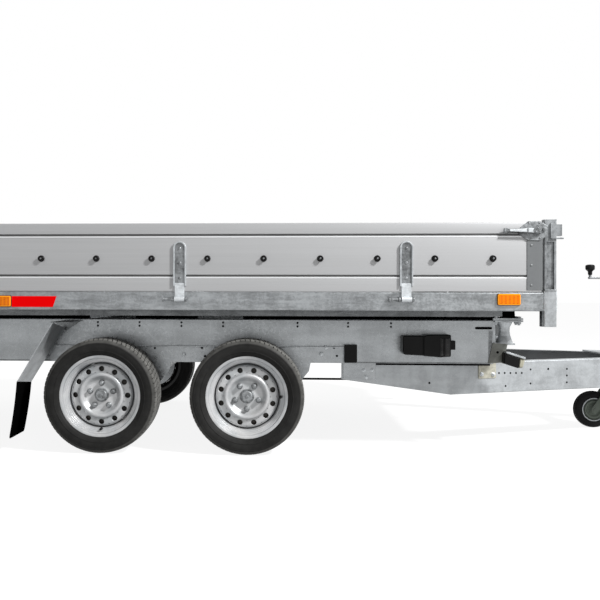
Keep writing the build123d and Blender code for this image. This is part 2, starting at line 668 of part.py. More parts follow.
def leaned(shape):
    """The cylinder leans forward from its trunnions, so that its eye meets the bracket."""
    lean = math.degrees(math.atan2(EYE_X - TRUNNION_X, EYE_Z - TRUNNION_Z))
    return shape.rotate(Axis((TRUNNION_X, 0, TRUNNION_Z), (0, 1, 0)), lean)


def upright(z0, z1, radius):
    """A rod on the cylinder's own line, before it leans."""
    return rod((TRUNNION_X, 0, z0), (TRUNNION_X, 0, z1), radius)


def cylinder_barrel():
    body = upright(BARREL_BOTTOM, BARREL_TOP, BARREL_R)
    body -= upright(BARREL_BOTTOM + 10, BARREL_TOP, stage_radius(1) + CLEAR)
    pins = rod((TRUNNION_X, BARREL_R - 4, TRUNNION_Z), (TRUNNION_X, 94, TRUNNION_Z),
               TRUNNION_R)
    return leaned(body + pins + flipped(pins))


def cylinder_stage(stage):
    """A chromed tube, or the rod with its eye as the last stage."""
    radius = stage_radius(stage)
    bottom = BARREL_BOTTOM + 12 + 2 * stage
    top = BARREL_TOP + 4 * stage
    body = upright(bottom, top, radius)
    if stage < STAGES:
        inner = stage_radius(stage + 1) + CLEAR
        return leaned(body - upright(bottom + 1, top, inner))
    eye_z = TRUNNION_Z + math.hypot(EYE_X - TRUNNION_X, EYE_Z - TRUNNION_Z)
    body += upright(top - 2, eye_z - EYE_BORE_R - 1, 14)
    body += rod((TRUNNION_X, -14, eye_z), (TRUNNION_X, 14, eye_z), EYE_R)
    return leaned(body - rod((TRUNNION_X, -15, eye_z), (TRUNNION_X, 15, eye_z), EYE_BORE_R))


def cylinder_bracket():
    """Cheeks and pin under the bed that the rod's eye hangs on, with room round the pin."""
    cheek = block(EYE_X - 26, EYE_X + 26, 20, 30, EYE_Z - 14, CROSS_BOTTOM)
    pin = rod((EYE_X, -30, EYE_Z), (EYE_X, 30, EYE_Z), EYE_PIN_R)
    return cheek + flipped(cheek) + pin


def bed_side_rail():
    face = outline([(BED_HALF, FRAME_BOTTOM), (BED_HALF, FRAME_TOP),
                    (BED_HALF - BOARD_THICK, FRAME_TOP),
                    (BED_HALF - BOARD_THICK, FRAME_TOP - FRAME_WALL),
                    (BED_HALF - FRAME_WALL, FRAME_TOP - FRAME_WALL),
                    (BED_HALF - FRAME_WALL, FRAME_BOTTOM + FRAME_WALL),
                    (BED_HALF - END_FLANGE, FRAME_BOTTOM + FRAME_WALL),
                    (BED_HALF - END_FLANGE, FRAME_BOTTOM)], ((0, 5), (1, 5)))
    return along_x(face, BED_REAR, BED_FRONT)


def bed_end_rails():
    reach = BED_HALF - END_FLANGE - 1
    front = along_y(cross_channel(BED_FRONT, END_FLANGE, FRAME_BOTTOM, FRAME_TOP, FRAME_WALL),
                    -reach, reach)
    web = BED_HALF - FRAME_WALL
    front += block(BED_FRONT - FRAME_WALL, BED_FRONT, -web, web,
                   FRAME_BOTTOM + FRAME_WALL, FRAME_TOP - FRAME_WALL)
    rear = mirror(front, about=Plane.YZ.offset((BED_FRONT + BED_REAR) / 2))
    return Compound([*front.solids(), *rear.solids()])


def bed_floor():
    """Floor plate between the end rails, cut out round the feet of the corner posts."""
    edge = END_FLANGE + CLEAR
    half = BED_HALF - BOARD_THICK
    low = FRAME_TOP - FLOOR_THICK
    rear, front = BED_REAR + edge, BED_FRONT - edge
    body = block(rear, front, -half, half, low, FRAME_TOP)
    inside = BED_HALF - POST_DEPTH - CLEAR
    rear_post = BED_REAR + POST_SETBACK + POST_WIDTH + CLEAR
    front_post = BED_FRONT - POST_SETBACK - POST_WIDTH - CLEAR
    for side in (-1, 1):
        y0, y1 = sorted((side * inside, side * BED_HALF))
        body -= block(BED_REAR, rear_post, y0, y1, low - 1, FRAME_TOP + 1)
        body -= block(front_post, BED_FRONT, y0, y1, low - 1, FRAME_TOP + 1)
    return body


def bed_crossmembers():
    reach = BED_HALF - FRAME_WALL
    solids = []
    for middle in CROSS_PLACES:
        bar = along_y(cross_channel(middle + 26, 52, CROSS_BOTTOM, FRAME_TOP - FLOOR_THICK,
                                    FRAME_WALL), -reach, reach)
        solids += bar.solids()
    return Compound(solids)


def bed_subframe_rails():
    inner = SUBFRAME_OUT - SUBFRAME_WIDTH
    x0, x1 = TIP_X + 12, RAIL_FRONT
    body = block(x0, x1, inner, SUBFRAME_OUT, SUBFRAME_BOTTOM, CROSS_BOTTOM)
    body -= block(x0, x1, inner + 3, SUBFRAME_OUT - 3, SUBFRAME_BOTTOM + 3, CROSS_BOTTOM - 3)
    return pair(body)


def corner_post(x):
    """Folded post that stands on the bed frame, with a plate down over the frame's side."""
    out = BED_HALF
    inside = out - POST_DEPTH
    points = [(x, inside), (x, out), (x + POST_WIDTH, out), (x + POST_WIDTH, inside),
              (x + POST_WIDTH - 4, inside), (x + POST_WIDTH - 4, out - 4), (x + 4, out - 4),
              (x + 4, inside)]
    upper = along_z(outline(points, ((1, 4), (2, 4))), FRAME_TOP, POST_TOP)
    upper += block(x + 2, x + POST_WIDTH - 2, out - POST_DENT - SHEET, out - 2,
                   FRAME_TOP + 1, POST_TOP - 1)
    upper -= block(x + POST_RIM, x + POST_WIDTH - POST_RIM, out - POST_DENT, out + 1,
                   FRAME_TOP + 6, LATCH_Z - 48)
    lid = block(x, x + POST_WIDTH, inside, out, POST_TOP - 4, POST_TOP)
    plate = block(x + 2, x + POST_WIDTH - 2, out, out + 5, POST_FOOT, FRAME_TOP + 14)
    return upper + lid + plate


def post_catch(x):
    """Catch for the board's latch on a front post, with its lug and pin ahead of the post."""
    out = BED_HALF
    front = x + POST_WIDTH
    body = block(front - 28, front - 4, out - 1, out + 8, LATCH_Z - 33, LATCH_Z + 32)
    body += block(front - 6, front + 20, out - 12, out + 8, LATCH_Z - 23, LATCH_Z + 27)
    return body + rod((front - 24, out + 3, LATCH_Z - 33), (front + 28, out + 3, LATCH_Z - 33), 4)


def corner_posts():
    rear = BED_REAR + POST_SETBACK
    front = BED_FRONT - POST_SETBACK - POST_WIDTH
    front_post = corner_post(front) + post_catch(front)
    solids = [*corner_post(rear).solids(), *front_post.solids()]
    return Compound([*solids, *[flipped(solid) for solid in solids]])


def board_face(out, bottom):
    """Cross-section of a drop side in (y, z): three planks, with a groove in each face between."""
    inner = out - BOARD_THICK
    half = GROOVE_WIDTH / 2
    outside = [(out, bottom)]
    inside = [(inner, bottom)]
    for drop in reversed(GROOVES):
        z = BOARD_TOP - drop
        outside += [(out, z - half), (out - GROOVE_DEPTH, z), (out, z + half)]
        inside += [(inner, z - half), (inner + GROOVE_DEPTH, z), (inner, z + half)]
    outside.append((out, BOARD_TOP))
    inside.append((inner, BOARD_TOP))
    points = outside + inside[::-1]
    last = len(outside)
    return outline(points, ((last - 1, 5), (last, 5)))


def side_board():
    return along_x(board_face(BED_HALF, BOARD_BOTTOM), BOARD_REAR, BOARD_FRONT)


def turned_to_end(shape):
    """A piece made for the left side, turned to the rear end with its outside rearward."""
    return Pos(BED_REAR + BED_HALF, 0, 0) * Rot(0, 0, 90) * shape


def tailboard():
    face = board_face(BED_HALF, BOARD_BOTTOM)
    return turned_to_end(along_x(face, -TAIL_HALF, TAIL_HALF))


def headboard():
    board = along_x(board_face(BED_HALF, FRAME_TOP), -TAIL_HALF, TAIL_HALF)
    return Pos(BED_FRONT - BED_HALF, 0, 0) * Rot(0, 0, -90) * board


def hinge_strap(x):
    """Pressed strap on the board with a tongue that ends in the hinge knuckle."""
    half = STRAP_WIDTH / 2
    out = BED_HALF
    low, top = STRAP_LOW, STRAP_TOP
    body = along_y(outline([(x - half, low), (x + half, low), (x + half, top), (x - half, top)],
                           ((2, half - 1), (3, half - 1))), out, out + STRAP_PROUD)
    body -= along_y(outline([(x - half + 8, low - 1), (x + half - 8, low - 1),
                             (x + half - 8, top - 8), (x - half + 8, top - 8)],
                            ((2, half - 10), (3, half - 10))), out + 4, out + STRAP_PROUD + 1)
    wide = TONGUE_WIDTH / 2
    axis_y = out + HINGE_OUT
    body += block(x - wide, x + wide, out + CLEAR, out + 5, HINGE_Z, low + 6)
    body += rod((x - wide, axis_y, HINGE_Z), (x + wide, axis_y, HINGE_Z), KNUCKLE_R)
    return body - rod((x - wide - 1, axis_y, HINGE_Z), (x + wide + 1, axis_y, HINGE_Z),
                      PIN_R + PIN_GAP)


def hinge_pin(x):
    """Fixed hinge pin with its two lugs on the bed frame."""
    axis_y = BED_HALF + HINGE_OUT
    wide = TONGUE_WIDTH / 2
    end_x = x - wide - PIN_TAIL
    body = rod((end_x, axis_y, HINGE_Z), (x + wide + 12, axis_y, HINGE_Z), PIN_R)
    for lug_x in (x - wide - 12, x + wide + 2):
        body += block(lug_x, lug_x + 8, BED_HALF, axis_y, HINGE_Z - 10, HINGE_Z + 10)
        body += rod((lug_x, axis_y, HINGE_Z), (lug_x + 8, axis_y, HINGE_Z), 10)
    return body + rod((end_x - 4, axis_y, HINGE_Z), (end_x + 2, axis_y, HINGE_Z), 11)


def board_latch(end_x, way):
    """Lever latch at a board's upper corner; way is 1 at the front end and -1 at the rear."""
    out, mid = BED_HALF, LATCH_Z

    def shape(points):
        return outline([(end_x + way * along, mid + up) for along, up in points])

    plate = shape([(26, 19), (-8, 41), (-59, 41), (-91, 15), (-98, -17), (-59, -41), (-8, -43),
                   (13, -28)])
    lever = shape([(-10, 13), (-150, 8), (-166, 13), (-166, -13), (-150, -9), (-10, -14)])
    hollow = shape([(-74, 5), (-146, 4), (-146, -5), (-74, -6)])
    body = along_y(plate, out + 1, out + 7)
    foot_x0, foot_x1 = sorted((end_x - way * 60, end_x - way * 20))
    body += block(foot_x0, foot_x1, out, out + 2, mid - 23, mid + 22)
    body += along_y(lever, out + 6, out + 16) - along_y(hollow, out + 10, out + 17)
    pivot_x = end_x - way * 28
    return body + rod((pivot_x, out + 6, mid), (pivot_x, out + 20, mid), 15)


def end_cap(end_x, way):
    """Folded plate over a board's end."""
    out = BED_HALF
    low, top, wall = BOARD_BOTTOM + 8, LATCH_Z - 27, 3
    x0, x1 = sorted((end_x - way * 63, end_x + way * wall))
    edge0, edge1 = sorted((end_x, end_x + way * wall))
    return (block(x0, x1, out, out + wall, low, top)
            + block(edge0, edge1, out - BOARD_THICK, out, low, top))


def side_fittings():
    solids = []
    for x in SIDE_STRAPS:
        solids += hinge_strap(x).solids()
    for end_x, way in ((BOARD_FRONT, 1), (BOARD_REAR, -1)):
        solids += end_cap(end_x, way).solids()
        solids += board_latch(end_x, way).solids()
    return Compound(solids)


def tail_fittings():
    solids = []
    for x in TAIL_STRAPS:
        solids += turned_to_end(hinge_strap(x)).solids()
    return Compound(solids)


def hinge_pins():
    solids = []
    for x in SIDE_STRAPS:
        left = hinge_pin(x)
        solids += [*left.solids(), *flipped(left).solids()]
    for x in TAIL_STRAPS:
        solids += turned_to_end(hinge_pin(x)).solids()
    return Compound(solids)


def side_lamps():
    """Amber marker lamps on the bed frame's sides."""
    solids = []
    for x0 in SIDE_LAMP_X:
        lamp = block(x0, x0 + SIDE_LAMP_LONG, BED_HALF, BED_HALF + SIDE_LAMP_DEEP,
                     SIDE_LAMP_LOW, SIDE_LAMP_HIGH)
        lamp = fillet(lamp.edges().filter_by(Axis.Y), 8)
        solids += [*lamp.solids(), *flipped(lamp).solids()]
    return Compound(solids)


def jockey_tube():
    """Outer tube of the jockey leg with its flange on the bridge and its gear head."""
    low, top = LEG_TUBE_LOW, LEG_TUBE_TOP
    seat = RAIL_BOTTOM + 8
    body = rod((LEG_X, 0, low), (LEG_X, 0, top), LEG_TUBE_R)
    body += rod((LEG_X, 0, seat), (LEG_X, 0, seat + 10), 52)
    body += rod((LEG_X, 0, top), (LEG_X, 0, top + LEG_HEAD), LEG_TUBE_R + 5)
    return body - rod((LEG_X, 0, low - 1), (LEG_X, 0, top - 20), LEG_R + CLEAR)


def jockey_crank():
    """Crank arm and knob on top of the leg."""
    knob_x, z = LEG_X - CRANK_REACH, CRANK_Z
    body = rod((LEG_X, 0, LEG_TUBE_TOP + LEG_HEAD), (LEG_X, 0, z + 12), 9)
    body += block(knob_x - 8, LEG_X + 10, -10, 10, z, z + 10)
    stem = rod((knob_x, 0, z + 10), (knob_x, 0, z + 30), 7)
    knob = turned_z(outline([(0, z + 22), (12, z + 22), (23, z + 50), (23, z + 66), (14, z + 78),
                             (0, z + 80)]), knob_x, 0)
    return body + stem + knob


def jockey_leg():
    """Inner tube that screws up and down."""
    return rod((LEG_X, 0, LEG_LOW), (LEG_X, 0, LEG_HIGH), LEG_R)


def jockey_fork():
    """Swivelling fork that trails behind the leg."""
    wheel_x = LEG_X - CASTER
    inner = JOCKEY_WIDTH / 2 + FORK_GAP
    outer = inner + FORK_WALL
    rear, front = LEG_X - 46, LEG_X + 24
    crown = rod((LEG_X, 0, FORK_TOP - 5), (LEG_X, 0, LEG_LOW - CLEAR), 34)
    crown += block(rear, front, -outer, outer, FORK_TOP - 7, FORK_TOP)
    cheek = along_y(outline([(front, FORK_TOP), (rear, FORK_TOP), (wheel_x - 13, JOCKEY_R + 12),
                             (wheel_x + 13, JOCKEY_R - 12)]), inner, outer)
    cheek += rod((wheel_x, inner, JOCKEY_R), (wheel_x, outer, JOCKEY_R), 18)
    pin = rod((wheel_x, -outer - 3, JOCKEY_R), (wheel_x, outer + 3, JOCKEY_R), 8)
    return crown + cheek + flipped(cheek) + pin


def jockey_wheel():
    half, r = JOCKEY_WIDTH / 2, JOCKEY_R
    side = [(half, 8.5), (half, 22), (half - 9, 28), (half - 9, 34), (half - 4, 40),
            (half - 4, 50), (half - 12, 56), (half - 3, 62), (half, r - 30), (half, r - 8),
            (half - 9, r)]
    face = outline([*side, *[(-y, radius) for y, radius in reversed(side)]])
    return turned_y(face, LEG_X - CASTER, r)


def nodes():
    """Every piece by name."""
    made = {
        "chassis_rail_left": chassis_rail(),
        "chassis_crossmembers": chassis_crossmembers(),
        "tube_caps": tube_caps(),
        "axle_rails": pair(axle_rail()),
        "drawbar_beam_left": drawbar_beam(),
        "drawbar_ties": drawbar_ties(),
        "overrun_device": overrun_device(),
        "shaft_gaiter": gaiter(),
        "coupling_head": coupling_head(),
        "handbrake": handbrake(),
        "mudflap_brackets": pair(mudflap_bracket()),
        "mudflaps": pair(mudflap()),
        "bed_rests": pair(bed_rest()),
        "bed_buffers": bed_buffers(),
        "marker_lamps": pair(marker_lamp()),
        "wheel_chock": wheel_chock(),
        "light_bar": light_bar(),
        "tail_lamps": tail_lamp(),
        "tip_hinge_brackets": pair(tip_hinge_bracket()),
        "cylinder_cradle": cylinder_cradle(),
        "tip_hinge_lugs": pair(tip_hinge_lug()),
        "cylinder_barrel": cylinder_barrel(),
        "cylinder_bracket": cylinder_bracket(),
        "bed_side_rail_left": bed_side_rail(),
        "bed_end_rails": bed_end_rails(),
        "bed_floor": bed_floor(),
        "bed_crossmembers": bed_crossmembers(),
        "bed_subframe_rails": bed_subframe_rails(),
        "corner_posts": corner_posts(),
        "headboard": headboard(),
        "tailboard": tailboard(),
        "tailboard_fittings": tail_fittings(),
        "side_board_left": side_board(),
        "side_fittings_left": side_fittings(),
        "hinge_pins": hinge_pins(),
        "side_lamps": side_lamps(),
        "jockey_tube": jockey_tube(),
        "jockey_crank": jockey_crank(),
        "jockey_leg": jockey_leg(),
        "jockey_fork": jockey_fork(),
        "jockey_wheel": jockey_wheel(),
    }
    for name in [name for name in made if name.endswith("_left")]:
        made[name[:-4] + "right"] = flipped(made[name])
    for stage in range(1, STAGES + 1):
        made[f"cylinder_stage_{stage}"] = cylinder_stage(stage)
    for row, x in (("front", AXLE_SPACING / 2), ("rear", -AXLE_SPACING / 2)):
        made[f"axle_{row}"] = axle(x)
        wheel_tyre = Pos(0, TRACK / 2, 0) * tyre(x)
        wheel_rim = Pos(0, TRACK / 2, 0) * rim(x)
        made[f"tyre_{row}_left"] = wheel_tyre
        made[f"tyre_{row}_right"] = flipped(wheel_tyre)
        made[f"rim_{row}_left"] = wheel_rim
        made[f"rim_{row}_right"] = flipped(wheel_rim)
    return made


for name, shape in nodes().items():
    solids = [Pos(-ORIGIN_X, 0, 0) * solid for solid in shape.solids()]
    export_step(solids[0] if len(solids) == 1 else Compound(solids), f"parts/{name}.step")
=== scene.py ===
"""Tandem-axle tipper trailer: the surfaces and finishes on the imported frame.

Lengths of the pieces are written in millimetres with X = 0 midway between the axles, X forward,
Y to the trailer's left and Z up from the floor. made() turns them into the frame's metres.
"""
import math

import bmesh
import bpy
import numpy as np
from mathutils import Matrix


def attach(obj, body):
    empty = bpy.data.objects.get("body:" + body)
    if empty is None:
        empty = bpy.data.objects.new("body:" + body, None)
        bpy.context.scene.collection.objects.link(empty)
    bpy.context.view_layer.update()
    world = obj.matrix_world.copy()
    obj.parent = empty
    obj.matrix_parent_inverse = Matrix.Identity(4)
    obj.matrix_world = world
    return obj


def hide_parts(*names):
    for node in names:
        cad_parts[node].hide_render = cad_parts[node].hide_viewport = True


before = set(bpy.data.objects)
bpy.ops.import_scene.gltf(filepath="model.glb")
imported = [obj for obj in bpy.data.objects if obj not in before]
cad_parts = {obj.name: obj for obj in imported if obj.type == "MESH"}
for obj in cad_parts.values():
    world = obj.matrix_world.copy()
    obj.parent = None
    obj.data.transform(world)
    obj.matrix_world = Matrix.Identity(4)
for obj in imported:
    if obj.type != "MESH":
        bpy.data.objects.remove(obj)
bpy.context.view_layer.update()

TANDEM_X = 721.5
HALF_TRACK = 772.5
WHEEL_R = 262.5
WHEEL_X = {"front": 335.0, "rear": -335.0}
SIDES = {"left": 1, "right": -1}
OUT = {"left": (0, 1, 0), "right": (0, -1, 0)}
UP = (0, 0, 1)
BED_HALF = 905.0
RAIL_OUT = 640.0
FULL_TURN = 2 * math.pi


class Tree:
    """Short calls that add nodes to one shader tree and join them."""

    def __init__(self, tree):
        self.tree = tree

    def add(self, kind, sockets=None, **settings):
        node = self.tree.nodes.new("ShaderNode" + kind)
        for name, value in settings.items():
            setattr(node, name, value)
        for name, value in (sockets or {}).items():
            if isinstance(value, bpy.types.NodeSocket):
                self.tree.links.new(value, node.inputs[name])
            else:
                node.inputs[name].default_value = value
        return node

    def math(self, operation, a, b=0.0, clamp=False):
        return self.add("Math", {0: a, 1: b}, operation=operation, use_clamp=clamp).outputs[0]

    def plus(self, a, b):
        return self.math("ADD", a, b)

    def minus(self, a, b):
        return self.math("SUBTRACT", a, b)

    def times(self, a, b, clamp=False):
        return self.math("MULTIPLY", a, b, clamp)

    def colour(self, share, a, b):
        return self.add("Mix", {0: share, 6: a, 7: b}, data_type="RGBA").outputs[2]

    def between(self, share, a, b):
        return self.add("Mix", {0: share, 2: a, 3: b}, data_type="FLOAT").outputs[0]

    def span(self, value, low, high, to_low=0.0, to_high=1.0):
        sockets = {"Value": value, "From Min": low, "From Max": high, "To Min": to_low,
                   "To Max": to_high}
        return self.add("MapRange", sockets, interpolation_type="SMOOTHSTEP").outputs[0]

    def place(self):
        return self.add("TexCoord").outputs["Object"]

    def facing(self):
        return self.add("NewGeometry").outputs["Normal"]

    def axis(self, vector, letter):
        return self.add("SeparateXYZ", {0: vector}).outputs[letter]

    def stretched(self, vector, factors):
        node = self.add("VectorMath", {0: vector, 1: factors}, operation="MULTIPLY")
        return node.outputs["Vector"]

    def attribute(self, name):
        return self.add("Attribute", attribute_name=name, attribute_type="GEOMETRY").outputs["Fac"]

    def noise(self, vector, scale, detail=3.0, rough=0.5):
        sockets = {"Vector": vector, "Scale": scale, "Detail": detail, "Roughness": rough}
        return self.add("TexNoise", sockets).outputs["Fac"]

    def use(self, shared, **values):
        return self.add("Group", {k.replace("_", " "): v for k, v in values.items()},
                        node_tree=shared).outputs

    def bump(self, height, strength, distance, normal=None):
        sockets = {"Height": height, "Strength": strength, "Distance": distance}
        if normal is not None:
            sockets["Normal"] = normal
        return self.add("Bump", sockets).outputs["Normal"]


KINDS = {"value": "NodeSocketFloat", "vector": "NodeSocketVector", "colour": "NodeSocketColor"}


def shared_group(name, takes, gives):
    """A node group with named sockets; takes and gives list (name, kind, start value)."""
    tree = bpy.data.node_groups.new(name, "ShaderNodeTree")
    for label, kind, value in takes:
        socket = tree.interface.new_socket(name=label, in_out="INPUT", socket_type=KINDS[kind])
        socket.default_value = value
    for label, kind in gives:
        tree.interface.new_socket(name=label, in_out="OUTPUT", socket_type=KINDS[kind])
    inner = Tree(tree)
    source = tree.nodes.new("NodeGroupInput").outputs
    target = tree.nodes.new("NodeGroupOutput").inputs
    return tree, inner, source, target


def edge_wear_and_highlight_group():
    """Where the surface turns over within a small radius: a mask, and the eased normal."""
    tree, t, takes, gives = shared_group(
        "edge wear and highlight", [("Radius", "value", 0.002), ("Breakup", "value", 60.0)],
        [("Mask", "value"), ("Normal", "vector")])
    # The mask lets the materials lighten edges, as wear and as a painted highlight.
    eased = t.add("Bevel", {"Radius": takes["Radius"]}, samples=4).outputs[0]
    dot = t.add("VectorMath", {0: eased, 1: t.facing()}, operation="DOT_PRODUCT")
    alike = dot.outputs["Value"]
    turned = t.times(t.minus(1.0, alike), 5.0, clamp=True)
    worn = t.span(t.noise(t.place(), takes["Breakup"], 4.0), 0.35, 0.65)
    t.tree.links.new(t.times(turned, worn), gives["Mask"])
    t.tree.links.new(eased, gives["Normal"])
    return tree


def spangle_group():
    """Zinc: clouds and wisps drawn out along the steel, fine crystals and upright drip marks."""
    tree, t, takes, gives = shared_group(
        "zinc spangle",
        [("Drawn", "vector", (1.0, 1.0, 3.0)), ("Cloud", "value", 7.0), ("Grain", "value", 300.0),
         ("Drips", "value", 0.3), ("Speck", "value", 0.24)],
        [("Tone", "value"), ("Roughness", "value"), ("Height", "value")])
    place = t.place()
    shake = t.add("TexNoise", {"Vector": place, "Scale": 14.0, "Detail": 3.0}).outputs["Color"]
    bent = t.add("VectorMath", {0: place, 1: t.stretched(shake, (0.04, 0.04, 0.04))},
                 operation="ADD").outputs["Vector"]
    drawn = t.stretched(bent, takes["Drawn"])
    cell = t.add("TexVoronoi", {"Vector": bent, "Scale": takes["Grain"]}, feature="F1")
    pick = t.add("SeparateColor", {0: cell.outputs["Color"]}).outputs["Red"]
    cloud = t.noise(drawn, takes["Cloud"], 8.0, 0.66)
    wisp = t.noise(t.stretched(drawn, (0.6, 0.6, 3.0)), takes["Cloud"], 5.0, 0.6)
    speck = t.noise(place, 75.0, 4.0, 0.6)
    drip = t.noise(t.stretched(bent, (15.0, 15.0, 2.0)), 1.0, 4.0, 0.55)
    tone = t.plus(t.times(pick, 0.06), t.times(cloud, 0.48))
    tone = t.plus(tone, t.times(wisp, 0.22))
    tone = t.plus(tone, t.times(t.minus(speck, 0.5), takes["Speck"]))
    tone = t.plus(tone, 0.12)
    tone = t.plus(tone, t.times(t.minus(drip, 0.5), takes["Drips"]))
    t.tree.links.new(t.span(tone, 0.36, 0.64), gives["Tone"])
    t.tree.links.new(t.span(speck, 0.3, 0.7, 0.38, 0.54), gives["Roughness"])
    t.tree.links.new(t.plus(t.times(pick, 0.3), speck), gives["Height"])
    return tree


def rolled_group():
    """Die lines of an extrusion: noise drawn out along the run, with a slow change of tone."""
    tree, t, takes, gives = shared_group(
        "rolled lines", [("Run", "vector", (1.2, 160.0, 160.0)), ("Slow", "value", 1.4)],
        [("Tone", "value"), ("Height", "value")])
    place = t.place()
    lines = t.stretched(place, takes["Run"])
    fine = t.noise(lines, 1.0, 5.0, 0.65)
    broad = t.noise(t.stretched(lines, (0.6, 0.12, 0.12)), 1.0, 3.0)
    slow = t.noise(place, takes["Slow"], 3.0)
    tone = t.plus(t.times(fine, 0.4), t.times(broad, 0.35))
    tone = t.plus(tone, t.times(slow, 0.25))
    t.tree.links.new(t.span(tone, 0.25, 0.75), gives["Tone"])
    t.tree.links.new(fine, gives["Height"])
    return tree


def dust_group():
    """Road dust: more of it low down and on faces that look up, broken by noise."""
    tree, t, takes, gives = shared_group(
        "road dust", [("Amount", "value", 0.3), ("Clean height", "value", 0.7)],
        [("Mask", "value")])
    place = t.place()
    height = t.math("DIVIDE", t.axis(place, "Z"), takes["Clean height"], clamp=True)
    low = t.minus(1.0, height)
    lying = t.times(t.math("MAXIMUM", t.axis(t.facing(), "Z"), 0.0), 0.5)
    patchy = t.span(t.noise(place, 9.0, 6.0, 0.65), 0.3, 0.75)
    mask = t.times(t.times(t.plus(low, lying), patchy), takes["Amount"])
    t.tree.links.new(mask, gives["Mask"])
    return tree


def moulded_group():
    """Fine pitted skin of moulded rubber or plastic."""
    tree, t, takes, gives = shared_group(
        "moulded skin", [("Scale", "value", 700.0)], [("Tone", "value"), ("Height", "value")])
    place = t.place()
    fine = t.noise(place, takes["Scale"], 3.0, 0.6)
    broad = t.noise(place, 6.0, 4.0)
    t.tree.links.new(t.span(broad, 0.3, 0.7), gives["Tone"])
    t.tree.links.new(fine, gives["Height"])
    return tree


EDGE_WEAR_AND_HIGHLIGHT = edge_wear_and_highlight_group()
SPANGLE = spangle_group()
ROLLED = rolled_group()
DUST = dust_group()
MOULDED = moulded_group()
DUST_COLOUR = (0.33, 0.29, 0.24, 1)


def emptied(owner):
    """The cleared shader tree of a material or world."""
    owner.use_nodes = True
    owner.node_tree.nodes.clear()
    return Tree(owner.node_tree)


def finish(name):
    """A new material, its tree and its shader."""
    material = bpy.data.materials.new(name)
    t = emptied(material)
    shader = t.add("BsdfPrincipled")
    t.add("OutputMaterial", {"Surface": shader.outputs[0]})
    return material, t, shader


def wire(t, shader, **sockets):
    for label, value in sockets.items():
        socket = shader.inputs[label.replace("_", " ")]
        if isinstance(value, bpy.types.NodeSocket):
            t.tree.links.new(value, socket)
        else:
            socket.default_value = value


def grey(value, tint=(1.0, 1.0, 1.0)):
    return (*(min(1.0, value * share) for share in tint), 1)


COOL = (0.955, 1.0, 1.03)
PALE = (0.985, 0.995, 1.01)
PASSIVATED = (1.06, 1.03, 0.86)
OLIVE = (0.97, 1.0, 0.90)


def galvanised(name, dark, light, cloud, drawn=(1.0, 1.0, 1.0), drips=0.2, dirt=0.05, metal=0.6,
               tint=COOL, split=None, inward_shade=None, gloss=0.0, speck=0.24):
    """Hot-dip zinc: clouds between two greys, edges lightened as wear and painted highlight, dust
    in it. split gives another pair of greys, the (x, z) weights of a slanting line and its place,
    for the part beyond it; the shade grey darkens faces that look toward the trailer's middle as
    painted shade, gloss is taken off the roughness, and speck is the share of the fine mottling."""
    material, t, shader = finish(name)
    zinc = t.use(SPANGLE, Drawn=drawn, Cloud=cloud, Drips=drips, Speck=speck)
    edge = t.use(EDGE_WEAR_AND_HIGHLIGHT, Radius=0.0014, Breakup=70.0)
    dust = t.use(DUST, Amount=dirt, Clean_height=0.75)["Mask"]
    low, high = grey(dark, tint), grey(light, tint)
    if split:
        (other_dark, other_light), (weight_x, weight_z), place = split
        along = t.plus(t.times(t.axis(t.place(), "X"), weight_x),
                       t.times(t.axis(t.place(), "Z"), weight_z))
        beyond = t.span(along, place - 0.002, place + 0.002)
        low = t.colour(beyond, low, grey(other_dark, tint))
        high = t.colour(beyond, high, grey(other_light, tint))
    colour = t.colour(zinc["Tone"], low, high)
    # Edges lifted toward a brighter grey: wear, and a painted highlight.
    colour = t.colour(t.times(edge["Mask"], 0.5), colour, grey(light * 1.4, tint))
    # Painted shade: faces that look toward the trailer's middle are darkened.
    if inward_shade:
        outward = t.times(t.axis(t.facing(), "Y"), t.math("SIGN", t.axis(t.place(), "Y")))
        inward = t.span(t.times(outward, -1.0), 0.3, 0.8)
        colour = t.colour(t.times(inward, 0.85), colour, grey(inward_shade, tint))
    colour = t.colour(dust, colour, DUST_COLOUR)
    rough = t.plus(t.minus(zinc["Roughness"], gloss), t.times(dust, 0.3))
    wire(t, shader, Base_Color=colour, Metallic=t.between(dust, metal, 0.1), Roughness=rough,
         Normal=t.bump(zinc["Height"], 0.1, 0.0005, edge["Normal"]))
    return material


def weathered(t, colour, radius, breakup, share, edge_tone, dirt, clean):
    """The colour with its edges lifted toward a lighter tone, as wear and as a painted highlight,
    with dust over it, and the eased normal.
    """
    edge = t.use(EDGE_WEAR_AND_HIGHLIGHT, Radius=radius, Breakup=breakup)
    dust = t.use(DUST, Amount=dirt, Clean_height=clean)["Mask"]
    colour = t.colour(t.times(edge["Mask"], share), colour, edge_tone)
    return t.colour(dust, colour, DUST_COLOUR), edge["Normal"]


def extruded(name, dark, light, run, metal=0.35, tint=PALE):
    """Anodised extrusion with die lines along its run."""
    material, t, shader = finish(name)
    lines = t.use(ROLLED, Run=run, Slow=1.1)
    colour = t.colour(lines["Tone"], grey(dark, tint), grey(light, tint))
    colour, normal = weathered(t, colour, 0.0012, 40.0, 0.6, grey(0.86), 0.06, 1.3)
    wire(t, shader, Base_Color=colour, Metallic=metal,
         Roughness=t.span(lines["Tone"], 0.0, 1.0, 0.46, 0.38),
         Normal=t.bump(lines["Height"], 0.1, 0.0003, normal))
    return material


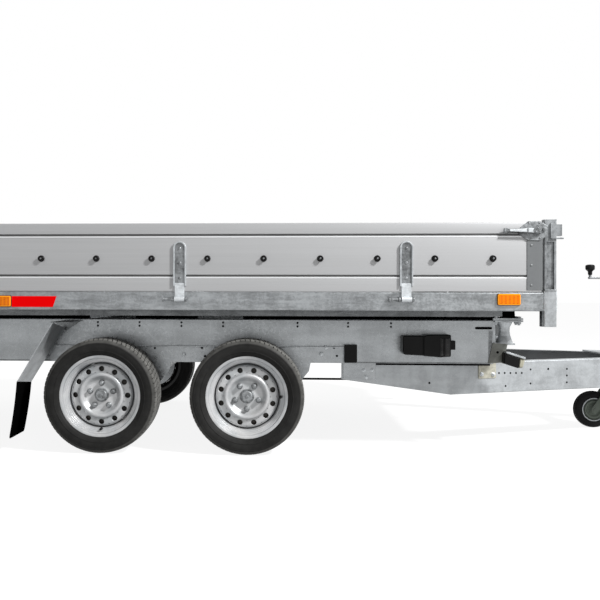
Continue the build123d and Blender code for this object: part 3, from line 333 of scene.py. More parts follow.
def silver_paint():
    """Wheel paint with metal flake, and the rim's inboard half painted near black as shade."""
    material, t, shader = finish("silver paint")
    place = t.place()
    flake = t.add("TexVoronoi", {"Vector": place, "Scale": 1400.0}, feature="F1").outputs["Color"]
    flake = t.add("SeparateColor", {0: flake}).outputs["Green"]
    colour = t.colour(flake, grey(0.50, PALE), grey(0.62, PALE))
    colour = t.colour(t.span(t.noise(place, 14.0, 4.0), 0.3, 0.7), grey(0.42, COOL), colour)
    colour, normal = weathered(t, colour, 0.0012, 90.0, 0.5, grey(0.9), 0.2, 0.6)
    # Painted shade: the rim inboard of 0.752 m from the middle goes near black, the dark inside of
    # the wheel seen through the vent holes.
    across = t.math("ABSOLUTE", t.axis(place, "Y"))
    colour = t.colour(t.span(across, 0.752, 0.772), grey(0.008), colour)
    wire(t, shader, Base_Color=colour, Metallic=0.3, Specular_IOR_Level=0.5,
         Roughness=t.span(flake, 0.0, 1.0, 0.32, 0.42),
         Normal=t.bump(flake, 0.05, 0.0003, normal))
    return material


def moulded(name, dark, light, rough, shine, scale=900.0, dirt=0.0, bump=0.2, worn=None):
    """Rubber or plastic with a moulded skin; worn names an attribute that lightens the wear."""
    material, t, shader = finish(name)
    skin = t.use(MOULDED, Scale=scale)
    colour = t.colour(skin["Tone"], dark, light)
    if worn:
        patchy = t.span(t.noise(t.place(), 30.0, 5.0), 0.2, 0.8, 0.5, 1.0)
        mark = t.times(t.attribute(worn), patchy)
        colour = t.colour(mark, colour, WORN_RUBBER)
    # Edges lifted toward grey: a painted highlight on rubber and plastic.
    colour, normal = weathered(t, colour, 0.0010, 60.0, 0.05, grey(0.25), dirt, 0.6)
    wire(t, shader, Base_Color=colour, Specular_IOR_Level=shine,
         Roughness=t.span(skin["Height"], 0.3, 0.7, rough - 0.06, rough + 0.08),
         Normal=t.bump(skin["Height"], bump, 0.0005, normal))
    return material


def lens(name, dark, light, rim_colour, painted_glow):
    """Moulded lamp lens: soft upright prisms, a border that the attribute rim marks, and painted
    light: the unlit lens gives a little light of its own.
    """
    material, t, shader = finish(name)
    place = t.place()
    wave = t.add("TexWave", {"Vector": t.stretched(place, (1.0, 1.0, 0.0)), "Scale": 36.0},
                 wave_type="BANDS", bands_direction="DIAGONAL").outputs["Fac"]
    tone = t.plus(t.times(wave, 0.55), t.times(t.noise(place, 25.0), 0.45))
    colour = t.colour(t.attribute("rim"), t.colour(tone, dark, light), rim_colour)
    wire(t, shader, Base_Color=colour, Roughness=t.span(wave, 0.0, 1.0, 0.18, 0.26),
         Normal=t.bump(wave, 0.25, 0.0006), Specular_IOR_Level=0.2, Emission_Color=colour,
         Emission_Strength=painted_glow)
    return material


def reflector_film():
    """Red reflective film with a honeycomb of small cells, and faint painted light of its own."""
    material, t, shader = finish("red reflector film")
    place = t.place()
    cell = t.add("TexVoronoi", {"Vector": place, "Scale": 260.0, "Randomness": 0.0},
                 feature="DISTANCE_TO_EDGE").outputs["Distance"]
    comb = t.span(cell, 0.02, 0.12)
    tone = t.times(comb, t.span(t.noise(place, 5.0), 0.2, 0.8, 0.8, 1.0))
    colour = t.colour(tone, (0.80, 0.0, 0.001, 1), (0.97, 0.0, 0.001, 1))
    wire(t, shader, Base_Color=colour, Roughness=t.span(comb, 0, 1, 0.5, 0.4),
         Normal=t.bump(comb, 0.1, 0.0002), Specular_IOR_Level=0.04, Emission_Color=colour,
         Emission_Strength=0.12)
    return material


def chrome():
    """Ground and chromed rod with faint turned rings."""
    material, t, shader = finish("chromed rod")
    lines = t.use(ROLLED, Run=(8.0, 8.0, 900.0), Slow=3.0)
    edge = t.use(EDGE_WEAR_AND_HIGHLIGHT, Radius=0.0010, Breakup=80.0)
    wire(t, shader, Base_Color=t.colour(lines["Tone"], grey(0.55), grey(0.70)), Metallic=1.0,
         Roughness=t.span(lines["Tone"], 0, 1, 0.12, 0.2),
         Normal=t.bump(lines["Height"], 0.05, 0.0002, edge["Normal"]))
    return material


def cast(name, dark, light, metal, rough):
    """Cast or painted iron with a rough skin and bare edges."""
    material, t, shader = finish(name)
    skin = t.use(MOULDED, Scale=420.0)
    colour = t.colour(skin["Tone"], dark, light)
    colour, normal = weathered(t, colour, 0.0020, 50.0, 0.3, grey(0.3), 0.2, 0.8)
    wire(t, shader, Base_Color=colour, Metallic=metal, Specular_IOR_Level=0.25,
         Roughness=t.span(skin["Height"], 0.3, 0.7, rough - 0.1, rough + 0.1),
         Normal=t.bump(skin["Height"], 0.5, 0.001, normal))
    return material


JOINT_X = (1328.0 - TANDEM_X) / 1000
POST_DULL_Z = 0.741
WORN_RUBBER = (0.22, 0.217, 0.205, 1)
ALONG, ACROSS = (1.2, 160.0, 160.0), (160.0, 1.2, 160.0)
FRAME_ZINC = galvanised("bed frame zinc", 0.19, 0.37, 7.0, (0.7, 1.0, 3.4), 0.25, 0.2, 0.85)
# Zinc darkened as painted shade, for parts under the bed and for shaded sheets and strips.
SHADE_ZINC = galvanised("zinc darkened as painted shade", 0.10, 0.20, 9.0, (1.0, 1.0, 3.0), 0.3, metal=0.9,
                        gloss=0.15)
RAIL_ZINC = galvanised("chassis zinc", 0.255, 0.365, 4.0, (0.8, 1.0, 2.0), 0.25, 0.08, 0.9,
                       gloss=0.14, speck=0.06)
# The drawbar's faces toward the trailer's middle get painted shade.
DRAWBAR_ZINC = galvanised("drawbar zinc", 0.30, 0.42, 8.0, (1.0, 1.0, 1.4), 0.4, metal=0.7,
                          split=((0.31, 0.46), (1.0, -0.34), JOINT_X), inward_shade=0.09,
                          speck=0.12)
REST_ZINC = galvanised("bright dipped zinc", 0.33, 0.52, 16.0)
POST_ZINC = galvanised("post zinc", 0.27, 0.42, 12.0, (1.5, 1.5, 0.7), 0.4, 0.2,
                       split=((0.13, 0.30), (0.0, 1.0), POST_DULL_Z))
DULL_ZINC = galvanised("dull zinc", 0.09, 0.28, 22.0, drips=0.3)
FITTING_ZINC = galvanised("fitting zinc", 0.08, 0.34, 42.0)
BRIGHT_ZINC = galvanised("bright zinc", 0.48, 0.70, 40.0, drips=0.1, dirt=0.03)
YELLOW_ZINC = galvanised("passivated zinc", 0.30, 0.48, 30.0, metal=0.45, tint=PASSIVATED)
OLIVE_ZINC = galvanised("olive bracket", 0.12, 0.20, 20.0, metal=0.2, tint=OLIVE)
DECK_ZINC = galvanised("deck zinc", 0.25, 0.42, 6.0, drips=0.0, dirt=0.3, metal=0.45)
SIDE_ALLOY = extruded("side board alloy", 0.378, 0.437, ALONG)
# A bright alloy for the strip over each plank's bevel: a painted highlight.
LIP_HIGHLIGHT_ALLOY = extruded("plank bevel painted highlight", 0.66, 0.78, ALONG)
END_ALLOY = extruded("end board alloy", 0.35, 0.405, ACROSS)
CAP_ALLOY = extruded("end cap alloy", 0.14, 0.18, (60.0, 60.0, 30.0), 0.45, COOL)
WHEEL_PAINT = silver_paint()
TYRE_RUBBER = moulded("tyre rubber", grey(0.004), grey(0.012), 0.55, 0.09, worn="worn")
SEAL_RUBBER = moulded("grey seal", grey(0.17), grey(0.23), 0.5, 0.1)
SOFT_RUBBER = moulded("soft rubber", grey(0.001), grey(0.0025), 0.75, 0.0, 500.0, bump=0.25)
BLACK_PLASTIC = moulded("black plastic", grey(0.003), grey(0.007), 0.35, 0.12)
# Lighter plastic for the chock's ribs: a painted highlight.
RIB_HIGHLIGHT_PLASTIC = moulded("chock rib plastic with painted highlight", grey(0.02), grey(0.09), 0.35, 0.2)
BEIGE_PLASTIC = moulded("clouded lens", (0.30, 0.29, 0.22, 1), (0.48, 0.46, 0.36, 1), 0.3, 0.3)
OLIVE_PLASTIC = moulded("olive plastic", (0.09, 0.11, 0.09, 1), (0.17, 0.195, 0.165, 1), 0.45,
                        0.2, 600.0, 0.03, 0.25)
# Near black for holes, slots and the strip under the rail: painted shade.
HOLE_SHADE = moulded("painted shade in holes and seams", grey(0.002), grey(0.004), 0.9, 0.02, 300.0, bump=0.05)
AMBER_LENS = lens("amber lens", (0.58, 0.105, 0.0, 1), (0.78, 0.21, 0.0, 1),
                  (0.88, 0.31, 0.01, 1), 0.18)
RED_LENS = lens("red lens", (0.40, 0.001, 0.001, 1), (0.70, 0.005, 0.004, 1),
                (0.5, 0.003, 0.003, 1), 0.1)
CLEAR_LENS = lens("clear lens", (0.55, 0.56, 0.57, 1), (0.80, 0.81, 0.82, 1),
                  (0.7, 0.7, 0.7, 1), 0.0)
RED_FILM = reflector_film()
ROD_CHROME = chrome()
CAST_IRON = cast("cast iron", grey(0.010), grey(0.024), 0.3, 0.6)
CYLINDER_PAINT = cast("cylinder paint", grey(0.010), grey(0.020), 0.0, 0.45)


def loft(rings, wrap=False, tone=0.0):
    """Quads between neighbouring rings of points, with an end face on each open end."""
    rings = np.asarray(rings, float)
    count, around = rings.shape[:2]
    row, column = np.meshgrid(np.arange(count if wrap else count - 1), np.arange(around),
                              indexing="ij")
    after, beside = (row + 1) % count, (column + 1) % around
    quads = np.stack([row * around + column, row * around + beside, after * around + beside,
                      after * around + column], -1).reshape(-1, 4).tolist()
    if not wrap:
        quads += [list(range(around)), list(range((count - 1) * around, count * around))]
    tones = np.broadcast_to(np.asarray(tone, float), (count, around)).ravel()
    return rings.reshape(-1, 3), quads, tones


def placed(local, centre, normal, turn=0.0):
    """Local (across, up, out) points set on a face at centre that looks along normal."""
    normal = np.asarray(normal, float) / np.linalg.norm(normal)
    up = np.array((0.0, 0.0, 1.0)) if abs(normal[2]) < 0.9 else np.array((1.0, 0.0, 0.0))
    across = np.cross(up, normal)
    across /= np.linalg.norm(across)
    up = np.cross(normal, across)
    local = np.asarray(local, float)
    c, s = math.cos(turn), math.sin(turn)
    p = local[..., 0] * c + local[..., 1] * s
    q = local[..., 1] * c - local[..., 0] * s
    return (np.asarray(centre, float) + p[..., None] * across + q[..., None] * up
            + local[..., 2][..., None] * normal)


def turned(radius, angle, out):
    """(across, up, out) points at a radius and an angle about a line."""
    points = np.broadcast_arrays(radius * np.sin(angle), radius * np.cos(angle), out)
    return np.stack(points, -1)


def round_steps(steps, start=0.0):
    """Even angles round a full turn, as a column."""
    return start + np.linspace(0, FULL_TURN, steps, endpoint=False)[:, None]


def lathe(profile, centre, normal, steps=48, closed=False):
    """A profile of (out, radius) turned about the line through centre along normal."""
    out, radius = np.array(profile, float).T
    local = turned(radius, round_steps(steps), out)
    if not closed:
        local = local.transpose(1, 0, 2)
    return loft(placed(local, centre, normal), wrap=closed)


def inset(shape, distance):
    """The outline moved inward: each corner slides along the mean of its two edge normals."""
    shape = np.asarray(shape, float)
    edge = np.roll(shape, -1, 0) - shape
    edge /= np.linalg.norm(edge, axis=1, keepdims=True)
    inward = np.stack([-edge[:, 1], edge[:, 0]], -1)
    nxt = np.roll(shape, -1, 0)
    if np.sum(shape[:, 0] * nxt[:, 1] - nxt[:, 0] * shape[:, 1]) < 0:
        inward = -inward
    before = np.roll(inward, 1, 0)
    lean = 1 + np.sum(inward * before, 1, keepdims=True)
    return shape + distance * (inward + before) / np.maximum(lean, 0.3)


def stamp(shape, centre, normal, levels, turn=0.0, tones=0.0):
    """An outline carried outward through levels of (out, inset)."""
    rings = []
    for out, margin in levels:
        flat = inset(shape, margin)
        rings.append(np.column_stack([flat, np.full(len(flat), float(out))]))
    tone = np.broadcast_to(np.reshape(tones, (-1, 1)), (len(levels), len(shape)))
    return loft(placed(np.array(rings), centre, normal, turn), tone=tone)


def rounded(points, radius, pieces=5):
    """The outline with each corner cut back by its radius and an arc bent in between."""
    points = np.asarray(points, float)
    radii = np.broadcast_to(np.asarray(radius, float), len(points))
    made = []
    for here, before, after, r in zip(points, np.roll(points, 1, 0), np.roll(points, -1, 0), radii):
        if r <= 0:
            made.append(here[None])
            continue
        a, b = before - here, after - here
        la, lb = np.linalg.norm(a), np.linalg.norm(b)
        a, b = a / la, b / lb
        half = math.acos(np.clip(a @ b, -1, 1)) / 2
        back = min(r / math.tan(half), 0.49 * la, 0.49 * lb)
        t = np.linspace(0, 1, pieces)[:, None]
        start, end = here + a * back, here + b * back
        made.append((1 - t) ** 2 * start + 2 * t * (1 - t) * here + t ** 2 * end)
    return np.concatenate(made)


def slab(width, height, radius=0.0):
    w, h = width / 2, height / 2
    corners = [(-w, -h), (w, -h), (w, h), (-w, h)]
    return rounded(corners, radius) if radius else np.array(corners, float)


def box(x0, x1, y0, y1, z0, z1, edge=1.0):
    """A block with its edges broken."""
    centre = ((x0 + x1) / 2, (y0 + y1) / 2, (z0 + z1) / 2)
    deep = (y1 - y0) / 2
    return stamp(slab(x1 - x0, z1 - z0), centre, (0, -1, 0),
                 [(-deep, edge), (edge - deep, 0), (deep - edge, 0), (deep, edge)])


def rivet(at, normal, radius=6.0, height=2.6, steps=14):
    share = np.array([(-0.2, 1.0), (0.25, 1.0), (0.62, 0.86), (0.88, 0.6), (1.0, 0.25)])
    return lathe(share * (height, radius), at, normal, steps)


def hexagon(across):
    angle = np.arange(6) * math.pi / 3
    return across / math.sqrt(3) * np.stack([np.cos(angle), np.sin(angle)], -1)


def bolt(at, normal, across=16.0, height=8.0, turn=0.0):
    """Hexagon head with a broken top edge on a round washer."""
    washer = lathe([(-0.5, across * 0.72), (1.8, across * 0.72), (2.4, across * 0.68)], at,
                   normal, 20)
    head = stamp(hexagon(across), at, normal, [(2.2, 0), (height + 0.6, 0), (height + 2.0, 1.6)],
                 turn)
    tip = lathe([(height, across * 0.27), (height + 4.0, across * 0.27),
                 (height + 4.8, across * 0.2)], at, normal, 12)
    return [washer, head, tip]


def joined(shells):
    """Several shells as one list of points, faces and tones."""
    points, faces, tones, start = [], [], [], 0
    for shell_points, shell_faces, shell_tones in shells:
        points.append(shell_points)
        faces += [[start + corner for corner in face] for face in shell_faces]
        tones.append(shell_tones)
        start += len(shell_points)
    return np.concatenate(points), faces, np.concatenate(tones)


def made(name, shells, body, material, stands_for=(), slot=None, angle=32.0, attribute=None):
    """One piece from its shells, in the frame's metres, riding on its body."""
    points, faces, tones = joined(shells)
    mesh = bpy.data.meshes.new(name)
    mesh.from_pydata(((points - (TANDEM_X, 0, 0)) / 1000).tolist(), [], faces)
    if attribute:
        mesh.attributes.new(attribute, "FLOAT", "POINT").data.foreach_set(
            "value", tones.astype(np.float32))
    work = bmesh.new()
    work.from_mesh(mesh)
    bmesh.ops.recalc_face_normals(work, faces=work.faces)
    work.to_mesh(mesh)
    work.free()
    mesh.polygons.foreach_set("use_smooth", np.ones(len(mesh.polygons), bool))
    mesh.set_sharp_from_angle(angle=math.radians(angle))
    mesh.materials.append(material)
    piece = bpy.data.objects.new(name, mesh)
    bpy.context.scene.collection.objects.link(piece)
    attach(piece, body)
    if stands_for:
        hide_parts(*stands_for)


def on_side(side, x, out, z):
    return (x, SIDES[side] * out, z)


def side_plate(side, corners, out, levels, radius=0.0):
    """A plate on the trailer's side from its (x, z) corners; out is measured from the middle."""
    flat = np.array(corners, float)
    middle = flat.mean(0)
    flat = (flat - middle) * (-SIDES[side], 1)
    if radius:
        flat = rounded(flat, radius, 4)
    return stamp(flat, on_side(side, middle[0], out, middle[1]), OUT[side], levels)


def both(build):
    """The shells that build(side name) gives for the left and the right side."""
    return [shell for side in SIDES for shell in build(side)]


def plates(corners, out, levels, radius=0.0):
    """The same side plate on the left and the right."""
    return both(lambda side: [side_plate(side, corners, out, levels, radius)])


def y_span(side, near, far):
    """The Y values at two distances from the middle on a side, the lower one first."""
    return sorted((SIDES[side] * near, SIDES[side] * far))


def flanked(x0, x1, near, far, z0, z1, edge=0.6):
    """The same block on both sides, from near to far off the trailer's middle."""
    return both(lambda side: [box(x0, x1, *y_span(side, near, far), z0, z1, edge)])


def carried(first, second, ends, axis=0):
    """A profile of two coordinates carried straight along X, or along Y where axis is 1."""
    return loft([np.insert(np.column_stack([first, second]), axis, end, 1) for end in ends])


TREAD_BLOCKS = 74
BLOCK_SHARES = np.array([0.0, 0.03, 0.14, 0.17, 0.46, 0.74])
BLOCK_CUT = np.array([0.0, 1.0, 1.0, 0.0, 0.0, 0.0])
SIDEWALL = [(70, 175), (76, 182), (80.4, 189.2), (84, 193), (86.4, 195.4), (87.8, 197.4),
            (89.5, 200.4), (91.8, 204.6), (93.0, 207), (94.6, 207.6), (94.9, 209.4), (93.9, 210.4),
            (95.4, 215), (96.9, 221), (97.4, 227), (97.1, 233), (96.0, 238.4), (96.4, 239.4),
            (95.8, 241), (94.2, 242), (92.6, 246), (90.4, 250), (87.6, 253.8)]
GROOVES = ((51.0, 4.2), (17.5, 4.6))
GROOVE_DEPTH = 7.0
CROWN_R = 262.3


def crown(out):
    """Radius of the slightly domed tread at a distance from its middle."""
    return CROWN_R - 1.3 * (out / 60) ** 2


def tyre_profile():
    """(out, radius, how worn, depth of the cross cuts) from the outer bead round to the inner."""
    rows = [(out, radius, 0.07 if radius < 243 else 0.4, 0.0) for out, radius in SIDEWALL]
    rows += [(83.0, 256.6, 0.6, 3.5), (78.0, 258.9, 0.9, 6.0), (68.0, 260.4, 1.0, 6.0)]
    for middle, half in GROOVES:
        outer, inner = middle + half, middle - half
        for out, deep in ((outer + 0.5, 0), (outer - 0.3, 1), (inner + 0.3, 1), (inner - 0.5, 0)):
            rows.append((out, crown(out) - deep * GROOVE_DEPTH, 0.9 * (1 - deep), 3.0 * (1 - deep)))
        rows.append((inner - 11, crown(inner - 11), 1.0, 3.0))
    outer_half = np.array(rows[:-1])
    middle_row = np.array([(0.0, CROWN_R, 1.0, 2.0)])
    inner_half = outer_half[::-1] * (-1, 1, 1, 1)
    return np.concatenate([outer_half, middle_row, inner_half])


def tyre(centre, normal, turn):
    """The profile carried round in blocks: every block starts with a narrow cut across the
    tread, the cuts sweep forward toward the shoulders, and the bead closes on itself."""
    out, radius, worn, cut_depth = tyre_profile().T
    block = np.arange(TREAD_BLOCKS)[:, None] + BLOCK_SHARES[None]
    angle = turn + block.ravel() * FULL_TURN / TREAD_BLOCKS
    cut = np.tile(BLOCK_CUT, TREAD_BLOCKS)
    sweep = 0.05 * np.clip(np.abs(out) / 75, 0, 1) ** 1.5 * np.sign(out)
    around = angle[:, None] + sweep
    deep = radius - cut[:, None] * cut_depth
    tone = worn * (1 - 0.9 * cut[:, None] * (cut_depth > 0))
    return loft(placed(turned(deep, around, out), centre, normal), wrap=True, tone=tone)


RIM_BARREL = [(77.4, 178.5), (79.2, 183.5), (78.6, 186.4), (76, 187.9), (73.2, 187), (71.4, 182.5),
              (70.4, 174), (4, 174), (-8, 156), (-36, 156), (-48, 168), (-70, 168), (-70, 181),
              (-78, 181), (-78, 166), (-50, 164), (-38, 146.5), (-6, 146.5), (2, 148.6),
              (26, 149.6), (31, 150.8), (36, 154.8), (39.6, 155.2), (41.4, 160.4), (43.4, 161.4),
              (50, 160.8), (52, 165.4), (54, 166.4), (60.4, 165.8), (62.4, 170.8), (64.4, 171.6),
              (70, 171.2), (75.2, 174)]
DISC_INNER = [(34.5, 28), (34.5, 34), (33, 37), (32, 42), (31.5, 48), (31.5, 54), (31.5, 60),
              (32, 66), (33.6, 70), (37, 74), (42, 79.5), (47.5, 84.5), (51.8, 89), (53.7, 93),
              (54, 95.5), (53.4, 98.5), (51, 102), (47.6, 105.5), (45, 108), (41, 108), (44, 105),
              (48, 100.5), (50, 96), (48.5, 91), (43, 84.5), (36, 78), (30, 73), (30, 28)]
DISC_OUTER = [(38.8, 136), (36.6, 139.4), (33, 142), (28, 144), (20, 145), (0, 145.6), (-28, 145.8),
              (-28, 142), (0, 141.8), (18, 141.2), (26, 140), (30.5, 138.2), (34.8, 136)]
HOLE_BAND = ((108, 45), (112, 42.8), (118, 41.6), (130, 41), (136, 38.8))
HOLE_RING_R, BAND_HALF = 122.0, 14.0
VENTS, BOLTS = 12, 5
BOLT_RING_R = 56


def vent_sector(centre, normal, turn):
    """One twelfth of the pierced band: four rings from the sector's edge over the lip of the
    hole, through it and back along the rear face."""
    steps = 32
    angle = np.linspace(0, FULL_TURN, steps, endpoint=False) + FULL_TURN / steps / 2
    reach = 1 / np.maximum(np.abs(np.cos(angle)), np.abs(np.sin(angle)))
    square = np.stack([np.cos(angle) * reach, np.sin(angle) * reach], -1)
    half_turn = math.pi / VENTS
    edge_r = HOLE_RING_R + BAND_HALF * square[:, 1]
    edge_a = half_turn * square[:, 0]
    edge = np.stack([edge_r * np.sin(edge_a), edge_r * np.cos(edge_a)], -1)
    spin = np.stack([np.cos(angle), np.sin(angle)], -1)
    band = np.array(HOLE_BAND, float)

    def ring(flat, drop):
        level = np.interp(np.hypot(flat[:, 0], flat[:, 1]), band[:, 0], band[:, 1])
        return np.column_stack([flat, level - drop])

    hole = np.array((0, HOLE_RING_R))
    rings = [ring(edge, 0), ring(hole + 13.4 * spin, 0), ring(hole + 12.6 * spin, 0.7),
             ring(hole + 12.2 * spin, 2.0), ring(hole + 12.2 * spin, 4), ring(edge, 4)]
    return loft(placed(np.array(rings), centre, normal, turn), wrap=True)


def starred(profile, centre, normal, turn, steps=120):
    """The dished middle of the disc: a turned profile pushed out in five lobes round the bolts."""
    out, radius = np.array(profile, float).T
    angle = round_steps(steps, turn)
    lobe = np.cos(BOLTS * (angle - turn))
    window = np.exp(-((radius - 54) / 13) ** 2) * (out > 29)
    pushed = out + 3.4 * window * (0.5 + 0.5 * np.sign(lobe) * np.abs(lobe) ** 0.7)
    return loft(placed(turned(radius, angle, pushed), centre, normal), wrap=True)


def rim(centre, normal, turn, bolts_turn):
    shells = [lathe(RIM_BARREL, centre, normal, 128, closed=True),
              starred(DISC_INNER, centre, normal, bolts_turn),
              lathe(DISC_OUTER, centre, normal, 128, closed=True)]
    for step in range(VENTS):
        shells.append(vent_sector(centre, normal, turn + step * FULL_TURN / VENTS))
    return shells


def around_wheel(centre, normal, radius, out, turn):
    """A point on a circle round the wheel's line."""
    return placed(turned(radius, turn, out), centre, normal)


def wheel_bolts(centre, normal, turn):
    """Five cone-seat bolts, each a tapered collar under a hexagon head."""
    shells = []
    for step in range(BOLTS):
        at = around_wheel(centre, normal, BOLT_RING_R, 35.5, turn + step * FULL_TURN / BOLTS)
        shells += [lathe([(0, 13.5), (3, 13.5), (6.5, 10.4)], at, normal, 24),
                   stamp(hexagon(17.5), at, normal, [(5, 0), (15.5, 0), (17.5, 1.8)], 0.3 * step),
                   lathe([(16, 5), (17.9, 4.4)], at, normal, 16)]
    return shells


def hub_cap(centre, normal):
    return [lathe([(30, 27.4), (46, 27.4), (49, 26.4), (51.5, 23.5), (52.2, 20), (51.6, 17.5),
                   (51.6, 8), (53.4, 6.5), (53.8, 2)], centre, normal, 48),
            lathe([(33, 33.5), (36.5, 33), (38, 31), (38.4, 28), (33, 27.6)], centre, normal, 48,
                  closed=True)]


def brake_drum(centre, normal):
    return [lathe([(29, 30), (29, 120), (26, 131), (20, 136), (-20, 136), (-22, 131), (-26, 131),
                   (-28, 136), (-56, 136), (-57.5, 133), (-57.5, 22)], centre, normal, 96)]


def valve(centre, normal, turn):
    at = around_wheel(centre, normal, 154.5, 42, turn)
    return [lathe([(-6, 6.2), (0, 6.2), (2, 5.0), (12, 4.2), (13, 4.2)], at, normal, 16),
            lathe([(12, 5.0), (22, 5.0), (23, 4.4)], at, normal, 16)]


WHEEL_TURNS = {"front": (math.radians(15), math.radians(180), math.radians(90)),
               "rear": (0.0, 0.0, math.radians(180))}

for row, wheel_x in WHEEL_X.items():
    holes_turn, bolts_turn, valve_turn = WHEEL_TURNS[row]
    for side, way in SIDES.items():
        wheel, out = f"{row}_{side}", OUT[side]
        hub = (wheel_x, way * HALF_TRACK, WHEEL_R)
        made(f"road_tyre_{wheel}", [tyre(hub, out, holes_turn)], f"wheel_{wheel}", TYRE_RUBBER,
             [f"tyre_{wheel}"], angle=38, attribute="worn")
        made(f"steel_rim_{wheel}", rim(hub, out, holes_turn, bolts_turn), f"wheel_{wheel}",
             WHEEL_PAINT, [f"rim_{wheel}"])
        for name, shells, material in (
                ("wheel_bolts", wheel_bolts(hub, out, bolts_turn), FITTING_ZINC),
                ("hub_cap", hub_cap(hub, out), FITTING_ZINC),
                ("brake_drum", brake_drum(hub, out), CAST_IRON),
                ("valve", valve(hub, out, valve_turn), BLACK_PLASTIC)):
            made(f"{name}_{wheel}", shells, f"wheel_{wheel}", material)


BOARD_BOTTOM, BOARD_TOP, BOARD_THICK = 742.0, 1045.0, 25.0
BOARD_FRONT, BOARD_REAR = 1620.0, -1545.0
BOARD_ENDS = ((BOARD_FRONT, 1), (BOARD_REAR, -1))
HEAD_BOTTOM = 739.3
END_BOARD_HALF = 866.0
BED_REAR, BED_FRONT = -1612.0, 1686.0
PLANK_DROPS = (53, 234)


def board_outline(bottom):
    """(depth behind the outer face, height): planks with a sealed joint, a shallow step under
    it and a small upward bevel, and plainer joints on the inside."""
    points = [(5, BOARD_TOP), (1.6, BOARD_TOP - 1.2), (0, BOARD_TOP - 5)]
    for drop in PLANK_DROPS:
        z = BOARD_TOP - drop
        points += [(0, z + 4.8), (0.8, z + 4.2), (14, z + 3.8), (14, z - 3.8), (5.6, z - 4.2),
                   (5.3, z - 5.4), (0.3, z - 13.6), (0, z - 14.6)]
    back = BOARD_THICK
    points += [(0, bottom + 1), (1, bottom), (back - 1, bottom), (back, bottom + 1)]
    for drop in reversed(PLANK_DROPS):
        z = BOARD_TOP - drop
        points += [(back, z - 3.4), (back - 3.5, z - 1.4), (back - 3.5, z + 1.4), (back, z + 3.4)]
    points += [(back, BOARD_TOP - 5), (back - 1.6, BOARD_TOP - 1.2), (back - 5, BOARD_TOP)]
    return np.array(points, float).T


def side_board(side):
    depth, height = board_outline(BOARD_BOTTOM)
    return [carried(SIDES[side] * (BED_HALF - depth), height, (BOARD_REAR, BOARD_FRONT))]


def end_board(outer_x, way, bottom):
    """A board across the trailer; way is where its outside looks."""
    depth, height = board_outline(bottom)
    return [carried(outer_x - way * depth, height, (-END_BOARD_HALF, END_BOARD_HALF), axis=1)]


for side in SIDES:
    made(f"side_planks_{side}", side_board(side), f"side_board_{side}", SIDE_ALLOY,
         [f"side_board_{side}"])
made("tail_planks", end_board(BED_REAR, -1, BOARD_BOTTOM), "tailboard", END_ALLOY, ["tailboard"])
made("head_planks", end_board(BED_FRONT, 1, HEAD_BOTTOM), "bed", END_ALLOY, ["headboard"])

BUTTON_X = [1411.0 - 250.0 * step for step in range(12)]
BUTTON_Z = 887.0
BUTTON = [(-0.5, 14.5), (1.6, 14.5), (2.6, 13.6), (4.5, 10.2), (7.5, 9.6), (9.0, 11.8),
          (11.5, 13.0), (13.4, 12.2), (14.3, 9.6), (14.3, 6.2), (12.6, 5.2), (12.4, 1.0)]
STRAPS = (1037.0, 37.0, -963.0)
STRAP_RIVETS = (800.0, 868.0, 932.0)
STRAP_LOW, STRAP_TOP, STRAP_HALF = 765.0, 964.0, 29.0
STRAP_SECTION = np.array([(0, 0), (0, 8.4), (0.8, 9.6), (2.0, 10), (5.4, 10), (6.8, 9.2), (8, 4),
                          (8, 0)])
CAP_RIVETS = [(x, z) for x in (1575.0, -1500.0) for z in (770.0, 857.0, 944.0)]
HINGE_Z, HINGE_OUT, KNUCKLE = 707.0, 918.0, 45.0
PLANK_SEAL = (2, -7, -6, -3.7, 3.7, 0.3)
PLANK_HIGHLIGHT = (1, -4, 0.7, -12.6, -5.4, 0.6)
LATCH_Z = 1008.0
LATCH_PLATE = ((26, 19), (-8, 41), (-59, 41), (-91, 15), (-98, -17), (-59, -41), (-8, -43),
               (13, -28))
LATCH_LEVER = ((-8, 14), (-148, 6), (-148, 10), (-166, 10), (-166, -11), (-148, -11), (-148, -7),
               (-8, -15))
LATCH_HIGHLIGHTS = (((-143, -4), (-143, 5), (-71, 7), (-70, -7)),
                 ((-64, -8), (-64, 9), (-22, 11), (-20, -11)))


def strap_rim(side, x):
    """The strap's raised edge: its section carried up one side, over the round top and down."""
    turn = np.concatenate([[0], np.linspace(0, math.pi, 21), [math.pi]])
    height = np.full(len(turn), STRAP_TOP - STRAP_HALF)
    height[[0, -1]] = STRAP_LOW
    inward, raised = STRAP_SECTION.T
    radius = STRAP_HALF - inward
    rings = np.stack([np.cos(turn)[:, None] * radius,
                      height[:, None] + np.sin(turn)[:, None] * radius,
                      np.broadcast_to(raised, (len(turn), len(radius)))], -1)
    return loft(placed(rings, on_side(side, x, BED_HALF, 0), OUT[side]))


def strap_bed(side, x):
    """The sunk middle of the strap."""
    half, top = STRAP_HALF - 7.6, STRAP_TOP - STRAP_HALF
    turn = np.linspace(0, math.pi, 17)
    arc = np.column_stack([half * np.cos(turn), top + half * np.sin(turn)])
    shape = np.concatenate([[(-half, STRAP_LOW), (half, STRAP_LOW)], arc])
    return stamp(shape, on_side(side, x, BED_HALF, 0), OUT[side], [(0.5, 0), (3.6, 0), (4, 0.4)])


